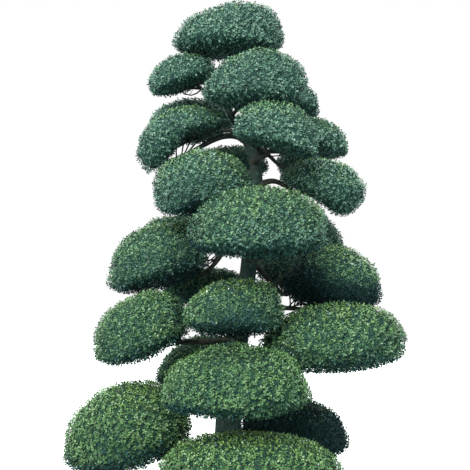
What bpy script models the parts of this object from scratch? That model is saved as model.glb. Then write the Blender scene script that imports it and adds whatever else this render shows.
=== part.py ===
"""A cloud-pruned Japanese holly, standing in a plain round pot.

Metres, +Z up. The origin is under the middle of the pot, on the surface that the pot stands on.
Seen from the front, along +Y, +X is to the right.
"""

import math
import random
from typing import NamedTuple

import bmesh
import bpy
from mathutils import Matrix, Vector, noise

# Clearance between solids that touch
SEAT_GAP = 0.0003
MERGE_WITHIN = 0.000003

# Pot: a plain tapered tub with a rolled band round its rim and holes in its floor
POT_HEIGHT = 0.60
POT_RIM_RADIUS = 0.52
POT_FOOT_RADIUS = 0.41
POT_WALL = 0.035
POT_FLOOR = 0.045
POT_BAND_HEIGHT = 0.075
POT_BAND_PROUD = 0.022
POT_EDGE_ROUND = 0.008
POT_SIDES = 28
DRAIN_HOLES = 5
DRAIN_RADIUS = 0.016
DRAIN_RING_RADIUS = 0.24

# Soil: level round the trunk, falling a little to the pot's wall
SOIL_TOP = 0.550
SOIL_AT_WALL = 0.528
SOIL_LEVEL_RADIUS = 0.26

# Trunk: a winding line, each knot as (x, y, z, radius), cut flat at the soil
TRUNK_KNOTS = (
    (0.000, 0.000, 0.55, 0.100),
    (-0.050, 0.010, 1.10, 0.092),
    (-0.010, 0.025, 1.60, 0.081),
    (0.085, 0.010, 2.25, 0.060),
    (0.158, -0.010, 2.85, 0.042),
    (0.105, 0.005, 3.17, 0.035),
    (-0.055, 0.030, 3.48, 0.026),
    (-0.025, 0.015, 3.80, 0.017),
)
TRUNK_SIDES = 12
TRUNK_RINGS = 21
RING_CROWDING = 1.15
FLARE_LOBES = 5
FLARE_WIDTH = 0.62
FLARE_HEIGHT = 0.13
FLARE_LOBE_DEPTH = 0.35

# Boughs: a tapering limb from the trunk to the underside of its cloud
BOUGH_ROOT_SHARE = 0.062
BOUGH_TIP_SHARE = 0.60
BOUGH_SIDES = 6
BOUGH_RINGS = 5
BOUGH_LEAVES = 0.35
BOUGH_ARRIVES = 0.30
BOUGH_DIP = 0.04
STEM_SIDES = 5

# Clouds: clipped domes of leaves round a smaller dense core
CORE_SCALE = 0.94
CORE_SIDES = 10
CORE_RISES = (-90, -42, -6, 26, 56, 90)
FULLNESS_ABOVE = 0.92
FULLNESS_BELOW = 0.85
LUMP_DEPTH = 0.07
LUMP_SCALE = 2.1
SPRAYS = 5
SMALL_CLOUD = 0.27
SEEDS_TO_TRY = 30
SPRAY_LOWEST = -14
LEAVES_TO_A_SPRAY = 3
LEAF_SHARE = 0.30
LEAF_WIDTH_SHARE = 0.60
LEAF_THICKNESS_SHARE = 0.05
LEAF_LIFT = 24
ROOT_SINK = 0.045
LIMB_CLEARANCE = 0.022
TWIG_RADIUS = 0.006
TWIG_TIP_SCALE = 0.98
REACH = 1.08
GOLDEN_ANGLE = math.radians(137.508)


class Cloud(NamedTuple):
    """One clipped dome.

    Its rim plane hangs by droop degrees away from the trunk, or from there turned by turn degrees, and its
    outer end bends down by bend more. A belly makes it deeper under its outer half.
    Its bough leaves the trunk at the fork's height, arches, and comes in at entry, a share of its half
    width in from the middle. A lean carries the crown sideways. With bough False its stem sits on the trunk.
    """

    name: str
    centre: tuple
    half: tuple
    crown: float
    under: float
    droop: float
    fork: float
    turn: float = 0.0
    bend: float = 0.0
    belly: float = 0.0
    arch: float = 0.02
    entry: float = 0.45
    lean: float = 0.0
    bough: bool = True


CLOUDS = (
    Cloud("01_top", (-0.056, 0.02, 3.925), (0.397, 0.29), 0.285, 0.094, 0.0, 3.77, lean=0.092, bough=False),
    Cloud("02_left", (-0.37, 0.0, 3.65), (0.25, 0.22), 0.186, 0.066, 18.5, 3.50, bough=False),
    Cloud("03_front", (0.13, -0.32, 3.475), (0.351, 0.29), 0.302, 0.11, 4.0, 3.40, lean=0.06, bough=False),
    Cloud(
        "04_right_back", (0.378, 0.3, 3.525), (0.245, 0.24), 0.206, 0.05, 9.5, 3.38,
        bend=0.012, bough=False,
    ),
    Cloud(
        "05_left_back", (-0.324, 0.38, 3.385), (0.317, 0.25), 0.22, 0.095, 9.0, 3.28,
        bend=0.012, lean=-0.012, bough=False,
    ),
    Cloud(
        "06_left", (-0.367, -0.1, 3.26), (0.339, 0.25), 0.175, 0.054, 12.5, 3.23,
        bend=0.138, belly=0.16, arch=0.07, entry=-0.3, lean=-0.06,
    ),
    Cloud(
        "07_front_right", (0.273, -0.56, 3.11), (0.29, 0.28), 0.249, 0.064, 14.0, 3.06,
        turn=55, bend=0.018, lean=-0.024,
    ),
    Cloud("08_right", (0.551, 0.1, 3.205), (0.265, 0.25), 0.196, 0.07, 12.0, 3.13, lean=-0.012),
    Cloud(
        "09_front_left", (-0.203, -0.36, 2.785), (0.336, 0.29), 0.304, 0.124, 15.5, 2.72,
        bend=0.012, lean=-0.024,
    ),
    Cloud(
        "10_right", (0.593, -0.15, 2.85), (0.289, 0.27), 0.214, 0.082, 21.0, 2.87,
        belly=0.08, arch=0.09, entry=0.5, lean=0.048,
    ),
    Cloud("11_back_left", (-0.03, 0.49, 3.085), (0.282, 0.25), 0.175, 0.055, 9.5, 3.00, lean=-0.012),
    Cloud("12_right_back", (0.55, 0.62, 3.105), (0.22, 0.22), 0.182, 0.05, 5.0, 3.22, arch=0.0, lean=-0.06),
    Cloud("13_front", (0.14, -0.75, 2.445), (0.446, 0.34), 0.335, 0.113, 3.0, 2.38, bend=0.012, lean=0.036),
    Cloud(
        "14_left", (-0.53, -0.12, 2.31), (0.358, 0.27), 0.296, 0.15, 14.5, 2.56,
        bend=0.018, arch=0.07, entry=0.75, lean=0.048,
    ),
    Cloud("15_right_back", (0.5, 0.5, 2.395), (0.337, 0.28), 0.386, 0.254, 0.5, 2.35, arch=-0.01),
    Cloud("16_left_back", (-0.46, 0.46, 2.505), (0.308, 0.26), 0.23, 0.08, 16.0, 2.48),
    Cloud("17_right", (0.672, -0.02, 2.17), (0.341, 0.26), 0.295, 0.175, 10.0, 2.06),
    Cloud("18_back_left", (-0.216, 0.4, 2.16), (0.335, 0.25), 0.175, 0.083, 6.5, 2.04, bend=0.012),
    Cloud("19_front", (-0.016, -0.58, 1.955), (0.322, 0.25), 0.253, 0.122, 4.0, 1.82, lean=0.06),
    Cloud("20_left", (-0.613, -0.34, 1.84), (0.334, 0.29), 0.28, 0.141, 24.5, 1.80, entry=0.6, lean=0.036),
    Cloud(
        "21_right", (0.632, -0.38, 1.765), (0.48, 0.33), 0.294, 0.171, -2.5, 1.74,
        entry=0.75, lean=0.048,
    ),
    Cloud("22_right_back", (0.75, 0.42, 1.72), (0.33, 0.3), 0.235, 0.09, 6.0, 1.62),
    Cloud(
        "23_left_back", (-0.288, 0.36, 1.585), (0.306, 0.27), 0.242, 0.112, 18.0, 1.48,
        bend=0.024, lean=0.072,
    ),
    Cloud("24_front", (-0.004, -0.8, 1.465), (0.46, 0.36), 0.329, 0.116, 4.0, 1.34, lean=0.024),
    Cloud("25_back", (0.13, 0.86, 1.395), (0.4, 0.34), 0.265, 0.085, 5.0, 1.26),
    Cloud("26_left", (-0.712, -0.3, 1.16), (0.426, 0.36), 0.355, 0.194, 16.0, 1.03, entry=0.55, lean=0.048),
    Cloud("27_right_back", (0.422, 0.30, 1.12), (0.391, 0.34), 0.277, 0.16, 7.5, 0.96, lean=-0.012),
    Cloud("28_front", (0.101, -0.75, 1.005), (0.558, 0.4), 0.25, 0.125, 3.0, 0.80, lean=-0.012),
    Cloud("29_left_back", (-0.77, 0.52, 1.065), (0.37, 0.34), 0.295, 0.11, 10.0, 0.92),
    Cloud("30_back", (0.15, 0.85, 0.845), (0.42, 0.32), 0.23, 0.1, 5.0, 0.74),
)


def clear_scene():
    for obj in list(bpy.data.objects):
        bpy.data.objects.remove(obj, do_unlink=True)


def make_material(name, colour, roughness):
    material = bpy.data.materials.new(name)
    material.use_nodes = True
    shader = material.node_tree.nodes["Principled BSDF"]
    shader.inputs["Base Color"].default_value = (*colour, 1)
    shader.inputs["Roughness"].default_value = roughness
    return material


def make_object(name, shape, material=None):
    """A named object from a bmesh, with its faces pointing out."""
    bmesh.ops.triangulate(shape, faces=shape.faces)
    bmesh.ops.recalc_face_normals(shape, faces=shape.faces)
    mesh = bpy.data.meshes.new(name)
    shape.to_mesh(mesh)
    shape.free()
    if material:
        mesh.materials.append(material)
    obj = bpy.data.objects.new(name, mesh)
    bpy.context.scene.collection.objects.link(obj)
    return obj


def apply_boolean(obj, operation, solver, operand):
    """Joins or cuts obj by an object or a collection, and puts the result in its mesh."""
    cut = obj.modifiers.new(operation.title(), "BOOLEAN")
    cut.operation = operation
    cut.solver = solver
    if isinstance(operand, bpy.types.Collection):
        cut.operand_type = "COLLECTION"
        cut.collection = operand
    else:
        cut.object = operand
    graph = bpy.context.evaluated_depsgraph_get()
    result = bpy.data.meshes.new_from_object(obj.evaluated_get(graph))
    obj.modifiers.remove(cut)
    obj.data = result


def keep_largest_shell(obj):
    """Drops loose scraps and the walls of any sealed hollow. Says whether one closed shell is left."""
    shape = bmesh.new()
    shape.from_mesh(obj.data)
    bmesh.ops.remove_doubles(shape, verts=shape.verts, dist=MERGE_WITHIN)
    bmesh.ops.dissolve_degenerate(shape, edges=shape.edges, dist=MERGE_WITHIN)
    unseen = set(shape.verts)
    shells = []
    while unseen:
        shell = {unseen.pop()}
        edge_of_shell = list(shell)
        while edge_of_shell:
            vert = edge_of_shell.pop()
            for edge in vert.link_edges:
                other = edge.other_vert(vert)
                if other in unseen:
                    unseen.remove(other)
                    shell.add(other)
                    edge_of_shell.append(other)
        shells.append(shell)
    shells.sort(key=len)
    for shell in shells[:-1]:
        bmesh.ops.delete(shape, geom=list(shell), context="VERTS")
    spare = [vert for vert in shape.verts if len(vert.link_edges) == 2]
    bmesh.ops.dissolve_verts(shape, verts=spare)
    bmesh.ops.triangulate(shape, faces=shape.faces)
    closed = all(part.is_manifold for part in [*shape.edges, *shape.verts])
    shape.to_mesh(obj.data)
    shape.free()
    return closed


def turned(profile, sides):
    """A solid of revolution about Z. The profile runs from the axis out, up and back to the axis."""
    shape = bmesh.new()
    verts = [shape.verts.new((radius, 0, height)) for radius, height in profile]
    edges = [shape.edges.new(pair) for pair in zip(verts, verts[1:])]
    bmesh.ops.spin(
        shape,
        geom=verts + edges,
        axis=(0, 0, 1),
        cent=(0, 0, 0),
        angle=math.tau,
        steps=sides,
        use_duplicate=False,
    )
    bmesh.ops.remove_doubles(shape, verts=shape.verts, dist=1e-5)
    return shape


def lofted(rings):
    """A closed tube through rings of points, with a flat cap on each end."""
    shape = bmesh.new()
    loops = [[shape.verts.new(point) for point in ring] for ring in rings]
    for lower, upper in zip(loops, loops[1:]):
        count = len(lower)
        for i in range(count):
            j = (i + 1) % count
            shape.faces.new((lower[i], lower[j], upper[j], upper[i]))
    shape.faces.new(loops[0][::-1])
    shape.faces.new(loops[-1])
    return shape


def tube_rings(line, radii, sides):
    """Rings square to a line, turned as little as possible from one to the next."""
    rings = []
    across = None
    for i, point in enumerate(line):
        along = (line[min(i + 1, len(line) - 1)] - line[max(i - 1, 0)]).normalized()
        if across is None:
            across = along.orthogonal().normalized()
        across = (across - along * across.dot(along)).normalized()
        other = along.cross(across)
        ring = []
        for k in range(sides):
            angle = math.tau * k / sides
            ring.append(point + (across * math.cos(angle) + other * math.sin(angle)) * radii[i])
        rings.append(ring)
    return rings


def trunk_at(height):
    """The trunk's middle and radius at a height, on a smooth line through its knots."""
    knots = [Vector(knot) for knot in TRUNK_KNOTS]
    last = len(knots) - 2
    i = next((k for k in range(last) if height < knots[k + 1].z), last)
    before = knots[max(i - 1, 0)]
    start, end = knots[i], knots[i + 1]
    after = knots[min(i + 2, last + 1)]
    t = (height - start.z) / (end.z - start.z)
    span = end.z - start.z
    slope_in = (end - before) * (span / (end.z - before.z))
    slope_out = (after - start) * (span / (after.z - start.z))
    knot = (
        start * (2 * t**3 - 3 * t**2 + 1)
        + slope_in * (t**3 - 2 * t**2 + t)
        + end * (3 * t**2 - 2 * t**3)
        + slope_out * (t**3 - t**2)
    )
    return Vector((knot.x, knot.y, height)), knot.w


def trunk_shape(extra=0.0):
    """The trunk, or with extra a slightly fatter one for cutting what sits on it."""
    foot = SOIL_TOP + SEAT_GAP
    tip = TRUNK_KNOTS[-1][2]
    rings = []
    for i in range(TRUNK_RINGS):
        share = i / (TRUNK_RINGS - 1)
        height = foot + (tip - foot) * share**RING_CROWDING
        middle, radius = trunk_at(height)
        flare = FLARE_WIDTH * math.exp(-(height - foot) / FLARE_HEIGHT)
        ring = []
        for k in range(TRUNK_SIDES):
            angle = math.tau * k / TRUNK_SIDES
            lobe = 1 + FLARE_LOBE_DEPTH * math.cos(FLARE_LOBES * angle + 0.6)
            reach = radius * (1 + flare * lobe) + extra
            ring.append(middle + Vector((math.cos(angle), math.sin(angle), 0)) * reach)
        rings.append(ring)
    return lofted(rings)


def heading(cloud):
    """The level direction from the trunk to the cloud."""
    middle, _ = trunk_at(min(cloud.fork, TRUNK_KNOTS[-1][2]))
    away = Vector(cloud.centre) - middle
    away.z = 0
    return away.normalized() if away.length > 0.1 else Vector((0, -1, 0))


def outward(cloud):
    """The level direction in which the cloud hangs down."""
    return Matrix.Rotation(math.radians(cloud.turn), 3, "Z") @ heading(cloud)


def hang(cloud):
    """The rotation that lets the rim plane droop."""
    axis = Vector((0, 0, 1)).cross(outward(cloud))
    return Matrix.Rotation(math.radians(cloud.droop), 3, axis)


def rounded(value, fullness):
    """A sine or cosine, made fuller so that a dome's shoulders stand out."""
    return math.copysign(abs(value) ** fullness, value)


def out_share(cloud, local):
    """How far out a point of the cloud lies, from 0 at the middle to 1 at the outer end."""
    return max(local.x * outward(cloud).x + local.y * outward(cloud).y, 0) / cloud.half[0]


def cloud_point(cloud, azimuth, rise, scale=1.0):
    """A point on the cloud's surface, at an azimuth and a rise above its rim plane."""
    fullness = FULLNESS_ABOVE if rise > 0 else FULLNESS_BELOW
    level = rounded(math.cos(rise), fullness)
    unit = Vector((math.cos(azimuth) * level, math.sin(azimuth) * level, rounded(math.sin(rise), fullness)))
    lump = 1 + LUMP_DEPTH * noise.noise(unit * LUMP_SCALE + Vector(cloud.centre) * 9)
    local = Vector((unit.x * cloud.half[0] + cloud.lean * max(unit.z, 0), unit.y * cloud.half[1], 0))
    local *= lump * scale
    share = out_share(cloud, local)
    height = cloud.crown if rise > 0 else cloud.under + cloud.belly * min(share * 1.6, 1)
    local.z = unit.z * height * lump * scale - cloud.bend * share**2
    return Vector(cloud.centre) + hang(cloud) @ local


def outside(cloud, point):
    """How far out of the cloud's centre a point is: 1 on its smooth surface."""
    local = hang(cloud).transposed() @ (point - Vector(cloud.centre))
    share = out_share(cloud, local)
    local.z += cloud.bend * share**2
    height = cloud.crown if local.z > 0 else cloud.under + cloud.belly * min(share * 1.6, 1)
    local.x -= cloud.lean * max(local.z, 0) / height
    level = math.hypot(local.x / cloud.half[0], local.y / cloud.half[1])
    power = 2 / (FULLNESS_ABOVE if local.z > 0 else FULLNESS_BELOW)
    return (level**power + abs(local.z / height) ** power) ** (1 / power)


def normal_at(cloud, azimuth, rise):
    step = 0.05
    rise = min(rise, math.pi / 2 - step)
    here = cloud_point(cloud, azimuth, rise)
    round_it = cloud_point(cloud, azimuth + step, rise) - here
    up_it = cloud_point(cloud, azimuth, rise + step) - here
    return round_it.cross(up_it).normalized()


def entry_point(cloud):
    """Where the cloud's bough ends, just under its underside, in from the middle towards the trunk."""
    local = hang(cloud).transposed() @ -heading(cloud)
    azimuth = math.atan2(local.y * cloud.half[0], local.x * cloud.half[1])
    clear = hang(cloud) @ Vector((0, 0, -1.1 * bough_radii(cloud)[-1] - 0.004))
    return cloud_point(cloud, azimuth, -math.acos(cloud.entry)) + clear


def bough_line(cloud):
    """An arched line from the middle of the trunk to the cloud's underside."""
    start, _ = trunk_at(cloud.fork)
    end = entry_point(cloud)
    reach = (end - start).length
    leave = start + heading(cloud) * reach * BOUGH_LEAVES + Vector((0, 0, cloud.arch * 1.2))
    arrive = end - heading(cloud) * reach * BOUGH_ARRIVES + Vector((0, 0, cloud.arch * 1.2 - BOUGH_DIP))
    line = []
    for i in range(BOUGH_RINGS):
        t = i / (BOUGH_RINGS - 1)
        line.append(
            start * (1 - t) ** 3
            + leave * (3 * t * (1 - t) ** 2)
            + arrive * (3 * t**2 * (1 - t))
            + end * t**3
        )
    return line


def bough_radii(cloud):
    root = BOUGH_ROOT_SHARE * (cloud.half[0] + cloud.half[1]) / 2 + 0.004
    tip = root * BOUGH_TIP_SHARE
    return [root + (tip - root) * i / (BOUGH_RINGS - 1) for i in range(BOUGH_RINGS)]


def stem_line(cloud):
    """The stem goes on from the bough's tip, or from the trunk, to the heart of the cloud."""
    heart = Vector(cloud.centre) + Vector((0, 0, cloud.crown * 0.25))
    if cloud.name == CLOUDS[0].name:
        tip, _ = trunk_at(TRUNK_KNOTS[-1][2])
        return [tip + Vector((0, 0, SEAT_GAP)), tip + Vector((0, 0, 0.05)), heart]
    if not cloud.bough:
        start, _ = trunk_at(cloud.fork)
        return [start, start.lerp(heart, 0.5) + Vector((0, 0, -0.02)), heart]
    line = bough_line(cloud)
    along = (line[-1] - line[-2]).normalized()
    tip = line[-1] + along * SEAT_GAP
    upward = hang(cloud) @ Vector((0, 0, cloud.under + cloud.crown * 0.45))
    return [tip, tip + along * 0.03, tip + along * 0.07 + upward]


def stem_radii(cloud):
    if cloud.name == CLOUDS[0].name:
        radius = TRUNK_KNOTS[-1][3] * 0.9
    else:
        radius = bough_radii(cloud)[-1]
    return [radius, radius, radius * 0.7]


def core_shape(cloud):
    """The dense inside of the cloud, a smaller dome than its outline."""
    shape = bmesh.new()
    loops = []
    for degrees in CORE_RISES:
        rise = math.radians(degrees)
        sides = 1 if abs(degrees) == 90 else CORE_SIDES
        azimuths = [math.tau * k / sides for k in range(sides)]
        loops.append([shape.verts.new(cloud_point(cloud, a, rise, CORE_SCALE)) for a in azimuths])
    for lower, upper in zip(loops, loops[1:]):
        for i in range(CORE_SIDES):
            j = (i + 1) % CORE_SIDES
            below = [lower[i % len(lower)], lower[j % len(lower)]]
            above = [upper[j % len(upper)], upper[i % len(upper)]]
            shape.faces.new(list(dict.fromkeys(below + above)))
    return shape


def leaf_shape(root, along, side, length):
    """A thin pointed blade of eight faces, standing for one spray of real leaves."""
    width = length * LEAF_WIDTH_SHARE
    face = along.cross(side).normalized() * length * LEAF_THICKNESS_SHARE
    middle = root + along * length * 0.52
    rim = [root, middle + side * width / 2, root + along * length, middle - side * width / 2]
    shape = bmesh.new()
    corners = [shape.verts.new(point) for point in rim]
    top, bottom = shape.verts.new(middle + face), shape.verts.new(middle - face)
    for i in range(4):
        j = (i + 1) % 4
        shape.faces.new((corners[i], corners[j], top))
        shape.faces.new((corners[j], corners[i], bottom))
    return shape


def spray_spots(cloud, growth_seed):
    """Azimuths and rises spread evenly over the dome by the golden angle."""
    lowest = math.sin(math.radians(SPRAY_LOWEST))
    first = random.Random(f"{cloud.name} {growth_seed}").uniform(0, math.tau)
    small = (cloud.half[0] + cloud.half[1]) / 2 < SMALL_CLOUD
    count = SPRAYS - 1 if small else SPRAYS
    spots = []
    for i in range(count):
        share = (i + 0.5) / count
        rise = math.asin(lowest + (1 - lowest) * (1 - share))
        spots.append((first + GOLDEN_ANGLE * i, rise))
    return spots


def touches_limb(points, limbs):
    """Whether any point lies in or beside one of the limbs, given as lines with radii."""
    for line, radii in limbs:
        for a, b, radius in zip(line, line[1:], radii):
            span = b - a
            for point in points:
                t = max(0.0, min(1.0, (point - a).dot(span) / span.length_squared))
                if (point - a - span * t).length < radius + LIMB_CLEARANCE:
                    return True
    return False


def spray_shapes(cloud, spot, limbs, rng):
    """A twig from the cloud's heart out to one spot, and the leaves round its tip."""
    azimuth, rise = spot
    normal = normal_at(cloud, azimuth, rise)
    foot = cloud_point(cloud, azimuth, rise, CORE_SCALE)
    tip = cloud_point(cloud, azimuth, rise, TWIG_TIP_SCALE)
    if touches_limb([foot, tip], limbs):
        return []
    fork = stem_line(cloud)[-1].lerp(foot, rng.uniform(0.1, 0.3))
    twig = [fork, fork.lerp(foot, 0.8), tip]
    shapes = [lofted(tube_rings(twig, [TWIG_RADIUS * 1.5, TWIG_RADIUS * 1.1, TWIG_RADIUS * 0.7], 3))]
    first = normal.orthogonal().normalized()
    turned_by = rng.random()
    for k in range(LEAVES_TO_A_SPRAY):
        length = LEAF_SHARE * (cloud.half[0] + cloud.half[1]) / 2 * rng.uniform(0.88, 1.08)
        angle = math.tau * (k + turned_by + rng.uniform(-0.09, 0.09)) / LEAVES_TO_A_SPRAY
        lift = math.radians(LEAF_LIFT + rng.uniform(-6, 6))
        out = Matrix.Rotation(angle, 3, normal) @ first
        along = out * math.cos(lift) + normal * math.sin(lift)
        side = Matrix.Rotation(math.radians(rng.uniform(-14, 14)), 3, along) @ normal.cross(out)
        root = foot - normal * (ROOT_SINK * cloud.half[0] + 0.005 * k) - out * 0.006
        points = [root + along * length * share for share in (0.0, 0.3, 0.5, 0.7, 1.0)]
        if outside(cloud, points[-1]) > REACH or touches_limb(points, limbs):
            continue
        shapes.append(leaf_shape(root, along, side, length))
    return shapes


def pot_inside(height):
    """The radius of the pot's inner wall."""
    slope = (POT_RIM_RADIUS - POT_FOOT_RADIUS) / POT_HEIGHT
    return POT_FOOT_RADIUS + slope * height - POT_WALL


def make_pot(material):
    band_foot = POT_HEIGHT - POT_BAND_HEIGHT
    wall_at_band = pot_inside(band_foot) + POT_WALL
    inner_rim = POT_RIM_RADIUS - POT_WALL
    edge = POT_EDGE_ROUND
    profile = (
        (0, 0),
        (POT_FOOT_RADIUS - edge, 0),
        (POT_FOOT_RADIUS, edge),
        (wall_at_band, band_foot),
        (wall_at_band + POT_BAND_PROUD, band_foot + edge),
        (POT_RIM_RADIUS + POT_BAND_PROUD, POT_HEIGHT - edge * 2),
        (POT_RIM_RADIUS + POT_BAND_PROUD - edge, POT_HEIGHT),
        (inner_rim + edge, POT_HEIGHT),
        (inner_rim, POT_HEIGHT - edge),
        (pot_inside(POT_FLOOR), POT_FLOOR),
        (0, POT_FLOOR),
    )
    pot = make_object("pot", turned(profile, POT_SIDES), material)
    for i in range(DRAIN_HOLES):
        angle = math.tau * (i + 0.5) / DRAIN_HOLES
        place = Vector((math.cos(angle), math.sin(angle), 0)) * DRAIN_RING_RADIUS
        drill = bmesh.new()
        bmesh.ops.create_cone(
            drill,
            cap_ends=True,
            segments=8,
            radius1=DRAIN_RADIUS,
            radius2=DRAIN_RADIUS,
            depth=POT_FLOOR * 3,
            matrix=Matrix.Translation(place + Vector((0, 0, POT_FLOOR / 2))),
        )
        cutter = make_object("drill", drill)
        apply_boolean(pot, "DIFFERENCE", "EXACT", cutter)
        bpy.data.objects.remove(cutter, do_unlink=True)
    return pot


def make_soil(material):
    foot = POT_FLOOR + SEAT_GAP
    profile = (
        (0, foot),
        (pot_inside(foot) - 3 * SEAT_GAP, foot),
        (pot_inside(SOIL_AT_WALL) - 2 * SEAT_GAP, SOIL_AT_WALL),
        (SOIL_LEVEL_RADIUS, SOIL_TOP),
        (0, SOIL_TOP),
    )
    return make_object("soil", turned(profile, POT_SIDES), material)


def make_boughs(material):
    """One limb for each cloud that stands off the trunk, cut to sit on the trunk's surface."""
    seat = make_object("trunk_seat", trunk_shape(SEAT_GAP))
    limbs = {}
    for cloud in CLOUDS:
        if not cloud.bough:
            continue
        line, radii = bough_line(cloud), bough_radii(cloud)
        bough = make_object("bough_" + cloud.name, lofted(tube_rings(line, radii, BOUGH_SIDES)), material)
        apply_boolean(bough, "DIFFERENCE", "EXACT", seat)
        keep_largest_shell(bough)
        limbs[cloud.name] = (line, radii)
    return seat, limbs


def grow_cloud(cloud, limbs, seat, material, growth_seed):
    """The core, the stem, the twigs and the leaves, joined into one solid."""
    mass = make_object("cloud_" + cloud.name, core_shape(cloud), material)
    stem = make_object("stem", lofted(tube_rings(stem_line(cloud), stem_radii(cloud), STEM_SIDES)))
    if not cloud.bough and cloud != CLOUDS[0]:
        apply_boolean(stem, "DIFFERENCE", "EXACT", seat)
        keep_largest_shell(stem)
    pieces = [stem]
    rng = random.Random(f"{cloud.name} {growth_seed}")
    for spot in spray_spots(cloud, growth_seed):
        pieces += [make_object("spray", shape) for shape in spray_shapes(cloud, spot, limbs, rng)]
    growth = bpy.data.collections.new("growth")
    bpy.context.scene.collection.children.link(growth)
    for piece in pieces:
        bpy.context.scene.collection.objects.unlink(piece)
        growth.objects.link(piece)
    apply_boolean(mass, "UNION", "MANIFOLD", growth)
    for piece in pieces:
        bpy.data.objects.remove(piece, do_unlink=True)
    bpy.data.collections.remove(growth)
    return mass


def make_cloud(cloud, limbs, seat, material):
    """A cloud whose leaves meet along an edge is grown again from the next seed."""
    for growth_seed in range(SEEDS_TO_TRY):
        mass = grow_cloud(cloud, limbs, seat, material, growth_seed)
        if keep_largest_shell(mass):
            return
        bpy.data.objects.remove(mass, do_unlink=True)
    raise ValueError(f"{cloud.name} doesn't join into one closed solid")


def trunk_limb():
    heights = [SOIL_TOP + (TRUNK_KNOTS[-1][2] - SOIL_TOP) * i / 20 for i in range(21)]
    middles = [trunk_at(height) for height in heights]
    return [middle for middle, _ in middles], [radius for _, radius in middles]


def main():
    clear_scene()
    clay = make_material("clay", (0.47, 0.24, 0.15), 0.85)
    earth = make_material("earth", (0.07, 0.05, 0.035), 0.95)
    bark = make_material("bark", (0.16, 0.13, 0.10), 0.9)
    foliage = make_material("foliage", (0.07, 0.16, 0.06), 0.5)
    make_pot(clay)
    make_soil(earth)
    make_object("trunk", trunk_shape(), bark)
    seat, limbs = make_boughs(bark)
    near = [trunk_limb(), *limbs.values()]
    for cloud in CLOUDS:
        make_cloud(cloud, near, seat, foliage)
    bpy.data.objects.remove(seat, do_unlink=True)


main()
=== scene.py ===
# %% [markdown]
# # A cloud-pruned Japanese holly in a pot
#
# A small evergreen tree, clipped for decades into thirty rounded clouds of tiny glossy leaves. A winding
# trunk carries them on its boughs, and the tree stands in a plain clay tub.
#
# The solids of the tree come packed, as a fixed frame. This script grows the real thing round them: bark
# with its relief, boughs that fork into twigs, and more than two hundred thousand leaves.

# %% Load the frame
import math
import random
from typing import NamedTuple

import bmesh
import bpy
import numpy as np
from mathutils import Matrix, Vector, kdtree, noise


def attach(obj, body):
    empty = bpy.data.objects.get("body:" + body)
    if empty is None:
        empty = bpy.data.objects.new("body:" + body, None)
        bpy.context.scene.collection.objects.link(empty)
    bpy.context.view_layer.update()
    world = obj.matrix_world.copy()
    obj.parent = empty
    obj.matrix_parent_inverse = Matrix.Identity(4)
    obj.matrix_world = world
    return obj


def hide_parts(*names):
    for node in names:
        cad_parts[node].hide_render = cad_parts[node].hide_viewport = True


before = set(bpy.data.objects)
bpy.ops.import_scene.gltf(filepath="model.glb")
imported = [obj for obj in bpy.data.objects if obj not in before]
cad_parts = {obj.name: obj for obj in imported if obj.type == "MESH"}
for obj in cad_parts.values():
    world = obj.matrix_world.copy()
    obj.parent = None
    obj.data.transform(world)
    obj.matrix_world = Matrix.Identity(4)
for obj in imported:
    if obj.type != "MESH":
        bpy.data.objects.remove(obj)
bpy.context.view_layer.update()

# %% [markdown]
# ## The camera
#
# The picture was taken from the front, 7 m from the trunk and 1.88 m above the floor, looking slightly
# up. A camera is one object with a lens length and a place. `to_track_quat` turns it towards its aim, so
# the aim is a named point and no angle has to be guessed. `add_object` also serves all that comes after:
# it makes an object of a camera, a lamp or a mesh, and puts it into the scene.

# %% Camera
CAMERA_PLACE = Vector((0.0, -7.0, 1.88))
CAMERA_AIM = Vector((0.0, 0.0, 2.545))
LENS_MM = 76.6
SENSOR_MM = 36.0


def add_object(name, data):
    obj = bpy.data.objects.new(name, data)
    bpy.context.scene.collection.objects.link(obj)
    return obj


def make_camera():
    camera = add_object("camera", bpy.data.cameras.new("camera"))
    camera.location = CAMERA_PLACE
    camera.rotation_euler = (CAMERA_AIM - CAMERA_PLACE).to_track_quat("-Z", "Y").to_euler()
    camera.data.lens = LENS_MM
    camera.data.sensor_width = SENSOR_MM
    bpy.context.scene.camera = camera


make_camera()
print("camera:", [round(value, 2) for value in CAMERA_PLACE], "lens", LENS_MM, "mm")

# %% [markdown]
# ## Small helpers for node trees and meshes
#
# Every material, and every Geometry Nodes tree, is a set of nodes with links between their sockets. A few
# helpers keep the code short: one adds a node with its settings and socket values, one adds a node that
# mixes two colours, one joins pairs of sockets, and one begins a material, whose first node is its shader.
# The last turns a bmesh, in which a shape is built, into the mesh of an object.


# %% Helpers
def add_node(tree, kind, values=None, **settings):
    node = tree.nodes.new(kind)
    for name, value in settings.items():
        setattr(node, name, value)
    for name, value in (values or {}).items():
        node.inputs[name].default_value = value
    return node


def add_mix(tree, **tones):
    """A node that mixes the colours A and B. One that isn't given here comes by a link."""
    values = {name: (*tone, 1) for name, tone in tones.items()}
    return add_node(tree, "ShaderNodeMix", values, data_type="RGBA")


def join(tree, *pairs):
    for source, target in pairs:
        tree.links.new(source, target)


def new_material(name, roughness, shine):
    material = bpy.data.materials.new(name)
    material.use_nodes = True
    shader = material.node_tree.nodes["Principled BSDF"]
    shader.inputs["Roughness"].default_value = roughness
    shader.inputs["Specular IOR Level"].default_value = shine
    return material, material.node_tree, shader


def finished_mesh(name, shape):
    mesh = bpy.data.meshes.new(name)
    shape.to_mesh(mesh)
    shape.free()
    return mesh


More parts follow.
